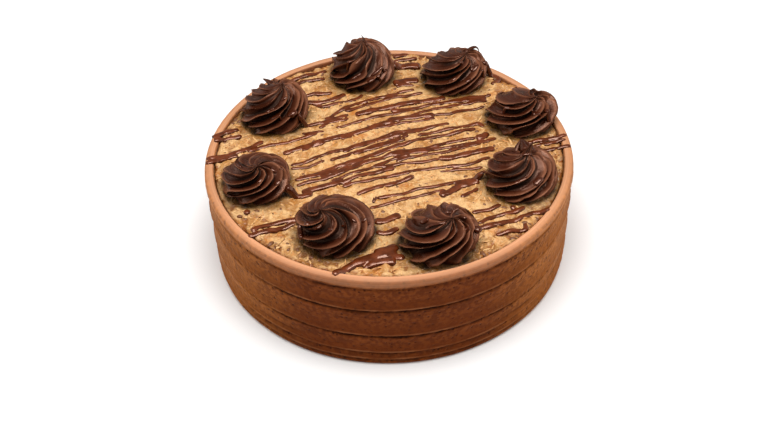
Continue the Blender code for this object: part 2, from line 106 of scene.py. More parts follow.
# Drizzle: each strand's width, and the spots of the plan that it runs through; millimetres.
Strand = namedtuple("Strand", "width path")
STRANDS = tuple(Strand(width, path) for width, *path in (
    # Across the middle, from the back to the front.
    (2.6, (-50, 58), (-42, 59), (-33, 59.8)), (3.0, (-49, 51), (-40, 50.5), (-33, 53), (-25, 58)),
    (2.0, (-43, 48), (-37, 46), (-26, 49.5), (-18, 53), (-14.5, 57)),
    (2.2, (-37, 33.5), (-33, 35), (-28, 41), (-15, 49), (0, 54.5), (9, 59), (17, 60.5)),
    (2.0, (-25, 40), (-15, 45), (-4, 49.5), (9, 54), (22, 57)),
    (2.2, (-52, 25), (-43, 29), (-36, 31.5), (-30, 34), (-23, 37)),
    (3.4, (-19, 37.5), (-10, 40), (0, 43), (16, 47), (30, 49.5), (35, 51.5)),
    (1.8, (-40, 25), (-33, 30), (-26, 32), (-23, 34)),
    (2.1, (-30, 25), (-19, 30), (-10, 32.5), (-1, 36), (8, 38), (24, 43.5), (40, 47.5), (56, 51), (63, 52)),
    (2.0, (2, 39.5), (18, 41.5), (30, 44.8), (45, 47.5), (60, 49)),
    (2.0, (0, 31), (10, 33), (19, 36.5), (30, 40), (44, 44), (60, 47)),
    (1.8, (-50, 20), (-44, 21), (-37, 22)),
    (3.0, (-60, 2.5), (-50, 6.5), (-38, 12), (-26, 17), (-12, 23), (0, 28.5), (12, 32), (28, 34)),
    (1.8, (-49, 4), (-42, 8), (-36, 10.8)), (1.7, (-27, 13.5), (-16, 19.3), (-6, 23.5), (7, 26.5), (28, 31)),
    (2.0, (28, 34), (37, 34.3), (46, 38), (58, 41)),
    (2.1, (-55, -8.5), (-47, -6), (-33, 2), (-20, 7), (-8, 12), (6, 18), (20, 21), (36, 25.5)),
    (1.7, (-26, 2.5), (-14, 8), (-2, 13), (12, 17), (28, 22.5)), (1.7, (-55, -11.5), (-46, -10.5), (-36, -5)),
    (2.0, (-33, -5), (-25, -1), (-12, 5), (0, 10), (12, 14.5)),
    (1.7, (-20, 0.3), (-8, 5), (0, 7.8), (10, 11.5)),
    (2.2, (-52, -21.5), (-38, -16.5), (-24, -9), (-8, -0.5), (5, 5), (18, 10.3), (36, 15.5), (51, 20)),
    (2.1, (17, 14.5), (27, 18), (40, 20.8), (50, 23.8), (53.5, 24.5), (55.5, 21)),
    (1.7, (-50, -19.3), (-36, -14), (-22, -7), (-6, 1.8), (4, 6.3), (15, 9.5)),
    (2.1, (-51, -25.5), (-38, -21.5), (-24, -15), (-9, -6.5), (4, -0.5), (18, 2.5), (34, 7.5), (50, 10.5)),
    (3.2, (50, 10.5), (54, 12), (57.5, 15.5)),
    (1.8, (-38, -19), (-22, -11.5), (-4, -4), (8, -2), (22, 1), (38, 4.5), (54, 8.2)),
    (1.9, (4, -8), (14, -4.6), (26, -1.8), (38, 1.8), (48, 5), (59, 9), (62, 10.5)),
    (1.9, (-32, -22.5), (-15, -15), (-5, -10), (4, -5.2), (12, -2.5)),
    (3.4, (-56, -34), (-48, -34.5), (-42, -32)), (3.4, (-48, -31), (-36, -27.5), (-25, -23.5)),
    (2.6, (-28, -25.5), (-18, -21), (-8, -17), (3, -13.5)),
    (2.0, (-9, -12.5), (4, -11), (16, -9.5), (28, -7)), (3.3, (28, -6), (37, -4.8), (48, -2.3), (60, 1)),
    (2.0, (-26, -28.5), (-12, -24), (0, -20), (13, -16.7), (28, -14), (44, -12), (57, -7)),
    (1.8, (-18, -26), (-6, -22.5), (4, -19.5), (12, -18)),
    (2.5, (-18, -35), (-5, -28.8), (4, -26), (13, -21.7)), (1.6, (28, -17.5), (40, -16), (52, -15.5)),
    (5.2, (-9.5, -39), (-7.5, -39.5)), (2.0, (-7, -38.5), (5, -36), (14, -32), (24, -30.5), (39, -26)),
    (1.8, (-11, -46.5), (0, -42.5), (14, -38.3), (30, -33.5)),
    (3.6, (27, -38.5), (33, -35), (39, -30), (49, -27)), (3.0, (36, -29), (44, -26.5), (51, -24.5)),
    (2.0, (38, -40), (43, -36.5), (48, -33)),
    # Over the lip at the left.
    (2.8, (-102.5, 15), (-95, 21), (-87, 25.3)), (3.0, (-103, 13.3), (-94, 16.2), (-84.5, 18.8)),
    (2.6, (-103, -4), (-98, -0.5), (-87, 3.6), (-79, 8), (-72, 14.3)),
    (2.4, (-102.6, -6.6), (-94, -2), (-85, 1)),
    (2.1, (-80, 4.5), (-71, 9.5), (-58, 12.5), (-46, 18), (-41, 20)),
    # Behind rosettes 1 and 2, and round rosette 3.
    (2.4, (-62, 70), (-50, 77), (-37, 83)), (2.2, (-57, 67.8), (-51, 72), (-38, 74.5)),
    (2.4, (4.7, 94.5), (12, 96.4), (20, 96.2)), (2.2, (4.7, 90.3), (12, 91.5), (20, 92)),
    (4.6, (4, 84), (12, 85), (22, 84.5)), (4.4, (4, 67.5), (12, 69.5), (20, 70.5)),
    (1.8, (6, 63.7), (11, 65.5), (17, 64.5)), (2.8, (59, 73), (66, 71), (69, 67), (64, 62)),
    # Over the lip at the right.
    (2.4, (79, 5), (90, 6.5), (102, 9)), (2.0, (82, 2), (92, 3.2), (101, 5)),
    (2.2, (84, -3), (94, -2), (103, -1)),
    # Front right, front left and front.
    (2.2, (43, -52), (51, -50.5), (58.8, -46.8)), (2.2, (45.5, -61), (53, -56.3), (63, -53.8), (71.5, -49.5)),
    (2.6, (44.7, -64.7), (55, -62), (65, -59.5), (74, -53.5), (84, -53.5)),
    (2.2, (54, -69.7), (62, -67.5), (69, -66.5), (70, -62)), (2.4, (-73, -63), (-62, -56.3), (-48, -52.5)),
    (2.6, (-74, -67), (-62, -62), (-49, -56)), (3.8, (-9, -57), (-2, -56), (5, -52)),
    (2.6, (-8, -65), (-2, -66), (4, -62.5)), (3.4, (-29.5, -97), (-20, -89.5), (-8, -84.5)),
    (4.6, (-19, -88), (-8, -82.8), (2.5, -79.5)), (4.0, (-9, -81), (3.3, -76.5)),
    (3.0, (-6, -82), (1, -83), (6.5, -85.3)), (3.6, (-15, -90), (-6, -87.5), (2, -87)),
    # Drops at the feet of the rosettes.
    (3.4, (-57, 23.5), (-52.5, 26)), (2.8, (-77, -45), (-75.7, -48.5)), (3.0, (43.5, -74), (44, -77.5)),
    (2.6, (-46, -74), (-45.5, -78)), (2.6, (66, -48), (64, -50.5)),
    # Short shining runs on the folds of the rosettes.
    (1.8, (-61, 31), (-57.5, 32)), (1.4, (-70, 26), (-65, 27.5)), (1.6, (-67, 22.5), (-61, 22)),
    (1.5, (-24, 68), (-19, 69.5)), (1.6, (-21.5, 61.5), (-15, 64)), (1.8, (-9, 63), (-3, 66), (1, 68.5)),
    (2.0, (-11.5, 58.5), (-7, 60)), (2.0, (-5.8, 61), (-2.5, 62.5)), (2.2, (44, 67), (47, 64.5)),
    (1.9, (50.5, 65), (52.5, 62), (56, 65)), (2.0, (37.5, 55), (42, 56)), (2.0, (47.5, 53.5), (51, 56)),
    (1.9, (58, 62), (60, 65)), (2.2, (82, 15), (87, 13.5)), (2.4, (89.5, 17), (93, 14)),
    (1.7, (63, 25), (66, 22), (70.5, 19.5)), (1.8, (74, 48), (77, 44)), (1.6, (66, -42), (73, -39.5)),
    (2.8, (76.5, -43), (81, -39)), (1.6, (70.5, -26), (76.5, -26.5)), (2.4, (15, -75.5), (20.5, -75)),
    (1.6, (17, -79), (27.5, -80)), (1.6, (27, -73.5), (34.5, -69)), (2.2, (36, -75), (38, -74.5)),
    (2.0, (35.5, -82), (39.5, -81.5)), (1.8, (-39, -79), (-34.5, -77.5)), (1.7, (-31.5, -78), (-29, -79.5)),
    (1.7, (-25, -75.5), (-22, -76.5)), (1.7, (-19.8, -71), (-17, -72.5)), (1.7, (-14.5, -70), (-10.5, -66)),
    (3.0, (-43, -76), (-41, -74)), (1.8, (-83, -22), (-79.5, -27)), (1.8, (-63.5, -28), (-60, -29.5)),
    (1.8, (-70, -38.5), (-67.5, -36.5)), (2.3, (-61, -37.5), (-58, -35)), (1.6, (-58.5, -29), (-57, -26)),
))
# Larger bits of pecan: place and size; millimetres.
LARGE_BITS = (
    (62.5, -72.5, 1.9), (65, -70.5, 1.3), (46, -84.5, 1.8), (49.5, -82.5, 1.2), (33, -90, 1.3),
    (76.5, -58, 1.4), (-62, -73, 1.8), (-60, -75, 1.2), (-89.5, 35, 2.0), (-87, 33, 1.6),
    (-91, 31, 1.5), (67, 68.5, 1.6), (64, 71, 1.3), (-41, -82, 1.5), (-37, -84, 1.2),
    (-48, -76, 1.4), (72, -63, 1.2), (42, -80, 1.0), (-80, -49, 1.2), (15, -44, 1.1), (-4, -49, 1.2),
)


def tone(red, green, blue):
    """A linear colour from one read off a screen, 0 to 255."""
    def linear(value):
        value /= 255
        return value / 12.92 if value <= 0.04045 else ((value + 0.055) / 1.055) ** 2.4
    return linear(red), linear(green), linear(blue)


def colour_property(name, description, colour):
    return FloatVectorProperty(name=name, description=description, subtype="COLOR", size=3,
                               min=0.0, max=1.0, default=colour)


class CakeSizes(bpy.types.PropertyGroup):
    """Sizes of the finish that a baker would change."""

    wall_unevenness: FloatProperty(
        name="Wall unevenness", description="How far the combed icing wanders in from its true round",
        default=0.35 * MM, min=0.0, max=2 * MM, unit="LENGTH")
    crest_raggedness: FloatProperty(
        name="Ridge raggedness", description="How deep the torn bits of the comb ridges are",
        default=0.35 * MM, min=0.0, max=1 * MM, unit="LENGTH")
    lump_height: FloatProperty(
        name="Lump height", description="Height of the lumps of the coconut spread",
        default=1.1 * MM, min=0.0, max=3 * MM, unit="LENGTH")
    shred_count: IntProperty(
        name="Coconut shreds", description="Number of coconut shreds on the spread", default=900, min=0)
    pecan_count: IntProperty(
        name="Pecan bits", description="Number of small pecan bits on the spread", default=260, min=0)
    fold_depth: FloatProperty(
        name="Fold depth", description="Depth of a rosette's folds, as a part of its radius",
        default=0.25, min=0.05, max=0.5, subtype="FACTOR")


class CakeColours(bpy.types.PropertyGroup):
    """Colours of the finish."""

    wall: colour_property("Wall icing", "Chocolate icing of the combed wall", tone(109, 52, 14))
    # The lip's colour is a paler copy of the wall icing: painted light for the lit top of the cake.
    lip: colour_property("Lip icing", "Smoothed chocolate icing of the lip", tone(206, 150, 112))
    spread: colour_property("Spread", "Cooked coconut spread", tone(187, 128, 65))
    cream: colour_property("Spread, pale", "Pale coconut in the spread", tone(234, 187, 127))
    amber: colour_property("Spread, amber", "Caramel patches of the spread", tone(204, 118, 34))
    # Partly a real wet stain beside the rosettes and partly painted shade there; its darkest use is a painted
    # shadow at their feet.
    shade: colour_property("Spread, shaded", "Spread soaked beside the rosettes", tone(116, 80, 36))
    pecan: colour_property("Pecan", "Chopped pecan", tone(118, 72, 40))
    drizzle: colour_property("Drizzle", "Poured chocolate", tone(96, 43, 18))
    ganache: colour_property("Ganache", "Piped chocolate", tone(57, 23, 10))
    # A painted highlight for the thin crests of the piped folds.
    crest_highlight: colour_property("Ganache crests", "Edges of the piped folds", tone(138, 86, 60))
    floor: colour_property("Floor", "Studio floor", tone(238, 238, 238))


# Mesh helpers ---------------------------------------------------------------------------------------

def blend(value, low, high):
    """0 at or under low, 1 at or over high, smooth between."""
    part = min(max((value - low) / (high - low), 0.0), 1.0)
    return part * part * (3 - 2 * part)


def ripple(x, y, length, seed=0.0):
    """Smooth noise over a plane, about -1 to 1, with bumps of the length given."""
    return noise.noise(Vector((x / length, y / length, seed)))


def turned(profile, steps):
    """Spin a profile of (radius, height) points, from the axis and back to it, into a closed form."""
    form = bmesh.new()
    points = [form.verts.new((radius, 0, height)) for radius, height in profile]
    edges = [form.edges.new(pair) for pair in zip(points, points[1:])]
    bmesh.ops.spin(form, geom=points + edges, cent=(0, 0, 0), axis=(0, 0, 1), dvec=(0, 0, 0),
                   angle=math.tau, steps=steps, use_merge=True, use_normal_flip=False,
                   use_duplicate=False)
    bmesh.ops.remove_doubles(form, verts=form.verts, dist=MERGE_GAP)
    bmesh.ops.recalc_face_normals(form, faces=form.faces)
    return form


def mesh_of(name, form):
    """The form as a mesh."""
    mesh = bpy.data.meshes.new(name)
    form.to_mesh(mesh)
    form.free()
    return mesh


def link_object(name, data):
    thing = bpy.data.objects.new(name, data)
    bpy.context.scene.collection.objects.link(thing)
    return thing


def finished_mesh(holder):
    """The mesh of an object with its curve and modifiers worked out; the object goes."""
    mesh = bpy.data.meshes.new_from_object(holder.evaluated_get(bpy.context.evaluated_depsgraph_get()))
    bpy.data.objects.remove(holder, do_unlink=True)
    return mesh


def add_piece(name, mesh, material, slot, *nodes):
    """Add a smooth-shaded piece that rides on the cake and stands for the nodes named."""
    mesh.shade_smooth()
    mesh.materials.clear()
    mesh.materials.append(material)
    piece = link_object(name, mesh)
    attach(piece, "root")
    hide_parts(*nodes)


# Shader helpers -------------------------------------------------------------------------------------

class Nodes:
    """Lays the nodes of one tree, with short calls that give back what each node puts out."""

    def __init__(self, tree):
        self.tree = tree

    def place(self, kind, settings=None, **inputs):
        """Add a node: settings are its options, inputs its sockets, each a value or a socket to join."""
        node = self.tree.nodes.new(kind)
        for option, value in (settings or {}).items():
            setattr(node, option, value)
        for name, value in inputs.items():
            self.feed(node.inputs[name.replace("_", " ")], value)
        return node

    def feed(self, socket, value):
        if isinstance(value, bpy.types.NodeSocket):
            self.tree.links.new(value, socket)
        else:
            socket.default_value = value

    def math(self, operation, *values):
        node = self.place("ShaderNodeMath", {"operation": operation})
        for socket, value in zip(node.inputs, values):
            self.feed(socket, value)
        return node.outputs[0]

    def times(self, first, second):
        return self.math("MULTIPLY", first, second)

    def plus(self, first, second):
        return self.math("ADD", first, second)

    def minus(self, first, second):
        return self.math("SUBTRACT", first, second)

    def axes(self, vector):
        return self.place("ShaderNodeSeparateXYZ", Vector=vector).outputs

    def mix(self, factor, first, second, mode="MIX"):
        """Two colours mixed: the first where factor is 0, the second where it is 1."""
        node = self.place("ShaderNodeMix", {"data_type": "RGBA", "blend_type": mode})
        self.feed(node.inputs[0], factor)
        for socket, colour in ((node.inputs[6], first), (node.inputs[7], second)):
            self.feed(socket, colour if isinstance(colour, bpy.types.NodeSocket) else (*colour, 1.0))
        return node.outputs[2]

    def tint(self, factor, colour, share):
        """A colour whose parts are scaled by share where factor is 1."""
        return self.mix(factor, colour, self.mix(1.0, colour, share, "MULTIPLY"))

    def ramp(self, value, low, high, bottom=0.0, top=1.0):
        """Bring a value from low..high smoothly to bottom..top."""
        return self.place("ShaderNodeMapRange", {"interpolation_type": "SMOOTHSTEP"}, Value=value,
                          From_Min=low, From_Max=high, To_Min=bottom, To_Max=top).outputs["Result"]


def mask_group(name, build, **numbers):
    """A node group that puts out one mask, made once; numbers are its inputs beside the Vector."""
    if name in bpy.data.node_groups:
        return bpy.data.node_groups[name]
    tree = bpy.data.node_groups.new(name, "ShaderNodeTree")
    tree.interface.new_socket("Vector", in_out="INPUT", socket_type="NodeSocketVector")
    for label, number in numbers.items():
        socket = tree.interface.new_socket(label, in_out="INPUT", socket_type="NodeSocketFloat")
        socket.default_value = number
    tree.interface.new_socket("Mask", in_out="OUTPUT", socket_type="NodeSocketFloat")
    source, sink = tree.nodes.new("NodeGroupInput"), tree.nodes.new("NodeGroupOutput")
    nodes = Nodes(tree)
    nodes.feed(sink.inputs["Mask"], build(nodes, source.outputs))
    return tree


HOLE_EDGE = (0.12, 0.42)


def build_holes(nodes, given):
    """Small air holes: 1 in each hole, for about the share of the surface given."""
    cells = nodes.place("ShaderNodeTexVoronoi", {"feature": "F1"},
                        Vector=given["Vector"], Scale=given["Scale"], Randomness=1.0)
    chance = nodes.place("ShaderNodeSeparateColor", Color=cells.outputs["Color"]).outputs["Red"]
    chosen = nodes.math("LESS_THAN", chance, given["Share"])
    return nodes.times(nodes.ramp(cells.outputs["Distance"], *HOLE_EDGE, bottom=1.0, top=0.0), chosen)


def build_mottle(nodes, given):
    """Cloudy patches, from 0 to 1, that change over the length 1 / Scale."""
    cloud = nodes.place("ShaderNodeTexNoise", Vector=given["Vector"], Scale=given["Scale"],
                        Detail=given["Detail"])
    return nodes.ramp(cloud.outputs["Fac"], given["Low"], given["High"])


class Finish(Nodes):
    """A node material in the making, with its shader and its object coordinates."""

    def __init__(self, name):
        self.material = bpy.data.materials.new(name)
        self.material.use_nodes = True
        super().__init__(self.material.node_tree)
        self.shader = self.tree.nodes["Principled BSDF"]
        self.spot = self.tree.nodes.new("ShaderNodeTexCoord").outputs["Object"]

    def group(self, tree, **inputs):
        return self.place("ShaderNodeGroup", {"node_tree": tree}, **inputs).outputs["Mask"]

    def mottle(self, scale, low, high, vector=None, detail=3.0):
        tree = mask_group("mottle", build_mottle, Scale=100.0, Detail=3.0, Low=0.4, High=0.6)
        return self.group(tree, Vector=vector or self.spot, Scale=scale, Low=low, High=high, Detail=detail)

    def holes(self, scale, share, vector=None):
        tree = mask_group("air_holes", build_holes, Scale=900.0, Share=0.4)
        return self.group(tree, Vector=vector or self.spot, Scale=scale, Share=share)

    def attribute(self, name):
        return self.place("ShaderNodeAttribute", {"attribute_name": name}).outputs["Fac"]

    def stretched(self, vector, scale, turn=0.0):
        """A vector whose pattern is drawn out along one direction."""
        return self.place("ShaderNodeMapping", Vector=vector, Scale=scale,
                          Rotation=(0.0, 0.0, turn)).outputs["Vector"]

    def ringed(self):
        """Coordinates that change only outward and upward, for marks that run round the cake."""
        parts = self.axes(self.spot)
        squares = [self.times(parts[axis], parts[axis]) for axis in ("X", "Y")]
        return self.place("ShaderNodeCombineXYZ", X=self.math("SQRT", self.plus(*squares)),
                          Z=parts["Z"]).outputs["Vector"]

    def bump(self, height, distance, strength=1.0):
        node = self.place("ShaderNodeBump", Height=height, Distance=distance, Strength=strength)
        self.surface(Normal=node.outputs["Normal"])

    def surface(self, **inputs):
        """Set the sockets of the shader, each to a value or from a socket to join."""
        for name, value in inputs.items():
            self.feed(self.shader.inputs[name.replace("_", " ")], value)


def shaded(colour, red, green=None, blue=None):
    """A colour with its parts scaled, all alike if only one number is given."""
    return tuple(part * share for part, share in zip(colour, (red, green or red, blue or red)))


# Materials ------------------------------------------------------------------------------------------

# Painted light: the wall grows paler towards its left and right sides, where more light falls.
WALL_SIDE_LIGHT = (0.4 * CAKE_RADIUS, 0.9 * CAKE_RADIUS)
WALL_SIDE_LIGHT_TINT = (2.15, 3.1, 4.0)
# Painted light: the lip grows brighter towards the front.
LIP_FRONT_LIGHT = (-0.85 * CAKE_RADIUS, -0.1 * CAKE_RADIUS)
LIP_FRONT_LIGHT_TINT = (1.25, 1.25, 1.25)
GRIT_TINT = (0.64, 0.59, 0.56)


def wall_colour(finish, colours, grain, holes):
    """Brown icing in faint clouds, with painted shade deeper over each ridge, painted light paler at the
    sides, with grit, and air holes darkened by painted shade.
    """
    wall = colours.wall
    # Painted shade: darker and deeper in tone low in each band, just above the ridge under it.
    deep = finish.ramp(finish.attribute("band"), 0.35, 0.95)
    calm = finish.ramp(deep, 0.0, 1.0, 1.0, 0.5)
    clouds = finish.mottle(70.0, low=0.3, high=0.7, vector=finish.stretched(finish.spot, (0.6, 0.6, 1.0)))
    across = finish.math("ABSOLUTE", finish.axes(finish.spot)["X"])
    colour = finish.mix(clouds, shaded(wall, 1.1, 1.1, 1.15), shaded(wall, 1.35, 1.4, 1.5))
    colour = finish.mix(finish.times(deep, 0.75), colour, shaded(wall, 0.78, 0.66, 0.35))
    # Painted light, paler towards the sides.
    colour = finish.tint(finish.ramp(across, *WALL_SIDE_LIGHT), colour, WALL_SIDE_LIGHT_TINT)
    colour = finish.tint(finish.times(finish.minus(1.0, grain), calm), colour, GRIT_TINT)
    # The air holes are painted dark: painted shade inside them.
    return finish.mix(finish.times(holes, finish.times(calm, 0.9)), colour, shaded(wall, 0.35, 0.3, 0.3))


def lip_colour(finish, colours, rings):
    """Smoothed lip icing in faint rings, its pale colour painted light for the lit top, and a little brighter
    towards the front as painted light.
    """
    colour = finish.mix(rings, shaded(colours.lip, 0.9, 0.87, 0.84), shaded(colours.lip, 1.03, 1.03, 1.04))
    # Painted light, brighter towards the front.
    front_light = finish.ramp(finish.axes(finish.spot)["Y"], *LIP_FRONT_LIGHT, bottom=1.0, top=0.0)
    return finish.tint(front_light, colour, LIP_FRONT_LIGHT_TINT)


def icing_material(colours):
    """Whipped chocolate icing: dull and full of air holes painted dark as shade, with painted shade in its
    grooves, a painted highlight just above each ridge, and a smoothed lip whose paler colour is painted
    light.
    """
    finish = Finish("combed_chocolate_icing")
    groove_shade, crest_highlight, pale = (finish.attribute(name) for name in ("groove_shade", "crest_highlight", "pale"))
    grain = finish.mottle(400.0, low=0.4, high=0.62)
    holes = finish.holes(400.0, share=0.4)
    rings = finish.mottle(900.0, low=0.36, high=0.64, vector=finish.ringed())
    streaks = finish.mottle(420.0, low=0.3, high=0.7, vector=finish.stretched(finish.spot, (0.12, 0.12, 1.0)))
    colour = wall_colour(finish, colours, grain, holes)
    # Painted highlight: a paler edge just above each ridge, in a tone of the lip's colour.
    colour = finish.mix(finish.times(crest_highlight, 0.35), colour, shaded(colours.lip, 0.6, 0.5, 0.4))
    # Painted shade: near black in the notch under each ridge and along the drag lines.
    colour = finish.mix(groove_shade, colour, shaded(colours.wall, 0.06, 0.04, 0.05))
    # Painted light: the smoothed lip takes its paler colour for its lit top.
    colour = finish.mix(pale, colour, lip_colour(finish, colours, rings))
    relief = finish.plus(finish.minus(finish.times(grain, 0.6), holes), finish.times(streaks, 0.4))
    relief = finish.times(relief, finish.ramp(pale, 0.0, 1.0, 1.0, 0.12))
    finish.bump(finish.plus(relief, finish.times(rings, 0.25)), 0.22 * MM, 0.8)
    finish.surface(Base_Color=colour, Roughness=finish.ramp(pale, 0.0, 1.0, 0.7, 0.4),
                   Specular_IOR_Level=0.08, Sheen_Weight=0.25, Sheen_Roughness=0.3,
                   Sheen_Tint=(1.0, 0.62, 0.36, 1.0))
    return finish.material


def bent_spot(finish):
    """Object coordinates pushed about a little, so that patterns on them run in soft curls."""
    warp = finish.place("ShaderNodeTexNoise", Vector=finish.spot, Scale=160.0, Detail=2.0)
    bent = finish.place("ShaderNodeMix", {"data_type": "VECTOR"})
    for socket, value in ((0, 0.012), (4, finish.spot), (5, warp.outputs["Color"])):
        finish.feed(bent.inputs[socket], value)
    return bent.outputs[1]


def spread_material(colours):
    """Cooked coconut spread: pale shreds in golden custard with amber patches, painted shade in its hollows,
    and wet, with painted shade, beside the rosettes.
    """
    finish = Finish("coconut_pecan_spread")
    bent = bent_spot(finish)
    patches = finish.mottle(130.0, low=0.41, high=0.59, vector=bent)
    amber = finish.mottle(75.0, low=0.56, high=0.72, vector=bent)
    fibres = finish.mottle(650.0, low=0.4, high=0.66, vector=finish.stretched(bent, (0.35, 1.0, 1.0), 0.4))
    crossed = finish.mottle(520.0, low=0.42, high=0.7, vector=finish.stretched(bent, (1.0, 0.4, 1.0), -0.5))
    curds = finish.mottle(330.0, low=0.36, high=0.62, vector=bent, detail=2.0)
    specks = finish.holes(210.0, share=0.2, vector=bent)
    pit_shades, soaked_and_shaded = (finish.attribute(name) for name in ("pit_shade", "soaked_and_shaded"))
    # Painted shade in the hollows between the lumps.
    hollow_shade = finish.times(finish.minus(1.0, curds), 0.22)
    colour = finish.mix(patches, colours.spread, colours.cream)
    for mask, other in (
            (finish.times(amber, 0.75), colours.amber),
            (finish.times(fibres, 0.4), colours.cream),
            (finish.times(crossed, 0.16), shaded(colours.spread, 0.62)),
            # Painted shade in the hollows and pits, deepest towards the lip.
            (finish.math("MAXIMUM", hollow_shade, pit_shades), shaded(colours.amber, 0.45, 0.42, 0.5)),
            (finish.times(soaked_and_shaded, 0.85), colours.shade),
            # Painted shadow: near black at the feet of the rosettes.
            (finish.ramp(soaked_and_shaded, 0.85, 1.5), shaded(colours.shade, 0.2, 0.16, 0.14)),
            (finish.times(specks, 0.6), colours.pecan)):
        colour = finish.mix(mask, colour, other)
    relief = finish.plus(fibres, finish.times(crossed, -0.7))
    finish.bump(finish.plus(relief, finish.times(curds, 1.6)), 0.28 * MM, 0.8)
    finish.surface(Base_Color=colour, Roughness=finish.ramp(patches, 0.0, 1.0, 0.3, 0.45))
    return finish.material


def shred_material(colours):
    """Coconut shreds, each a little paler or browner than the next."""
    finish = Finish("coconut_shred")
    fibres = finish.mottle(900.0, low=0.4, high=0.6)
    colour = finish.mix(finish.times(finish.attribute("toast"), 0.6), colours.cream, colours.amber)
    colour = finish.mix(finish.times(fibres, 0.5), colour, colours.spread)
    finish.bump(fibres, 0.08 * MM)
    finish.surface(Base_Color=colour, Roughness=finish.ramp(fibres, 0.0, 1.0, 0.4, 0.5))
    return finish.material


def pecan_material(colours):
    """Chopped pecan: brown skin with paler broken sides."""
    finish = Finish("chopped_pecan")
    broken = finish.mottle(700.0, low=0.55, high=0.7)
    finish.bump(broken, 0.15 * MM)
    finish.surface(Base_Color=finish.mix(finish.times(broken, 0.5), colours.pecan, colours.shade),
                   Roughness=finish.ramp(broken, 0.0, 1.0, 0.45, 0.65))
    return finish.material


def drizzle_material(colours):
    """Poured chocolate, set with a gloss: painted shade on its steep sides, and darker where it hangs over a
    rosette.
    """
    finish = Finish("poured_chocolate")
    base = colours.drizzle
    clouds = finish.mottle(220.0, low=0.35, high=0.65)
    draped = finish.ramp(finish.axes(finish.spot)["Z"], *DRAPED)
    upright_for_shade = finish.axes(finish.tree.nodes.new("ShaderNodeNewGeometry").outputs["Normal"])["Z"]
    colour = finish.mix(clouds, shaded(base, 0.7), shaded(base, 1.3))
    colour = finish.mix(draped, colour, shaded(base, 0.45, 0.4, 0.45))
    # Painted shade on the steep sides of each strand.
    colour = finish.mix(finish.ramp(upright_for_shade, 0.35, 0.9, 0.95, 0.0), colour, shaded(base, 0.35, 0.25, 0.15))
    finish.bump(finish.mottle(500.0, low=0.3, high=0.7), 0.02 * MM, 0.4)
    finish.surface(Base_Color=colour, Roughness=finish.ramp(clouds, 0.0, 1.0, 0.16, 0.24),
                   Specular_IOR_Level=0.8, Specular_Tint=(1.0, 0.64, 0.5, 1.0))
    return finish.material


def ganache_material(colours):
    """Piped ganache: satin folds with painted shade in the valleys, a painted highlight on the thin crests,
    and paler streaks along the folds.
    """
    finish = Finish("piped_ganache")
    crest_highlight, streak, valley = (finish.attribute(name) for name in ("crest_highlight", "streak", "valley"))
    base = colours.ganache
    clouds = finish.mottle(180.0, low=0.35, high=0.65)
    colour = finish.mix(clouds, shaded(base, 0.8), shaded(base, 1.2))
    colour = finish.mix(finish.times(streak, 0.35), colour, shaded(base, 1.6))
    # Painted shade darkens the valleys, and a painted highlight lightens the crests.
    colour = finish.mix(crest_highlight, finish.mix(valley, colour, shaded(base, 0.1)), colours.crest_highlight)
    roughness = finish.math("MAXIMUM", finish.ramp(clouds, 0.0, 1.0, 0.24, 0.36), finish.times(valley, 0.6))
    finish.bump(finish.mottle(800.0, low=0.3, high=0.7), 0.08 * MM, 0.6)
    finish.surface(Base_Color=colour, Roughness=roughness, Specular_IOR_Level=0.6, IOR=1.4,
                   Specular_Tint=(1.0, 0.56, 0.4, 1.0))
    return finish.material


# Iced cake ------------------------------------------------------------------------------------------

WALL_STEPS = 560
WALL_ROW_GAP = 1.0 * MM
FOOT_FILLET = 1.6 * MM
FOOT_FACETS = 5
LIP_FACETS = 22
LIP_SHOULDER_DROP = 3.0 * MM
LIP_SHOULDER_INSET = 0.25 * MM
LIP_INNER_DROP = 1.6 * MM
LIP_INNER_FOOT = CAKE_HEIGHT - 4 * MM
# The ridges that the comb left, how strong each is, and the rows of the wall beside one, in millimetres.
RIDGE_HEIGHTS = (4.7 * MM, 10.1 * MM, 23.2 * MM, 42.4 * MM, 58.6 * MM)
RIDGE_STRENGTHS = (0.6, 0.8, 1.0, 1.0, 0.5)
RIDGE_ROWS = (-2.1, -1.8, -1.55, -1.3, -1.1, -0.85, -0.6, -0.3, -0.12, 0.0, 0.12, 0.28, 0.45, 0.7, 1.0)
RIDGE_ROOM = 2.3 * MM
BAND_DEPTH = 0.8 * MM
STEP_DEPTH = 0.65 * MM
STEP_RISE = 0.3 * MM
LEDGE_DEPTH = 0.3 * MM
LEDGE_RISE = 0.35 * MM
TOP_BAND_DEPTH = 0.25 * MM
TOP_BAND_RISE = 0.6 * MM


def wall_inset(height):
    """How far the wall stands inside the full radius: in above a ridge, and out again under the next."""
    for lower, upper in zip(RIDGE_HEIGHTS, RIDGE_HEIGHTS[1:]):
        if lower <= height <= upper:
            share = (height - lower) / (upper - lower)
            hollow = BAND_DEPTH * blend(share, -0.1, 0.45) * (1 - 0.2 * blend(share, 0.5, 0.95))
            hollow += LEDGE_DEPTH * blend(height - lower, 0.0, LEDGE_RISE) * (1 - share)
            return hollow * blend(upper - height, 0.0, STEP_RISE)
    if height < RIDGE_HEIGHTS[0]:
        return STEP_DEPTH * blend(RIDGE_HEIGHTS[0] - height, 0.0, STEP_RISE)
    return TOP_BAND_DEPTH * blend(height - RIDGE_HEIGHTS[-1], 0.0, TOP_BAND_RISE)


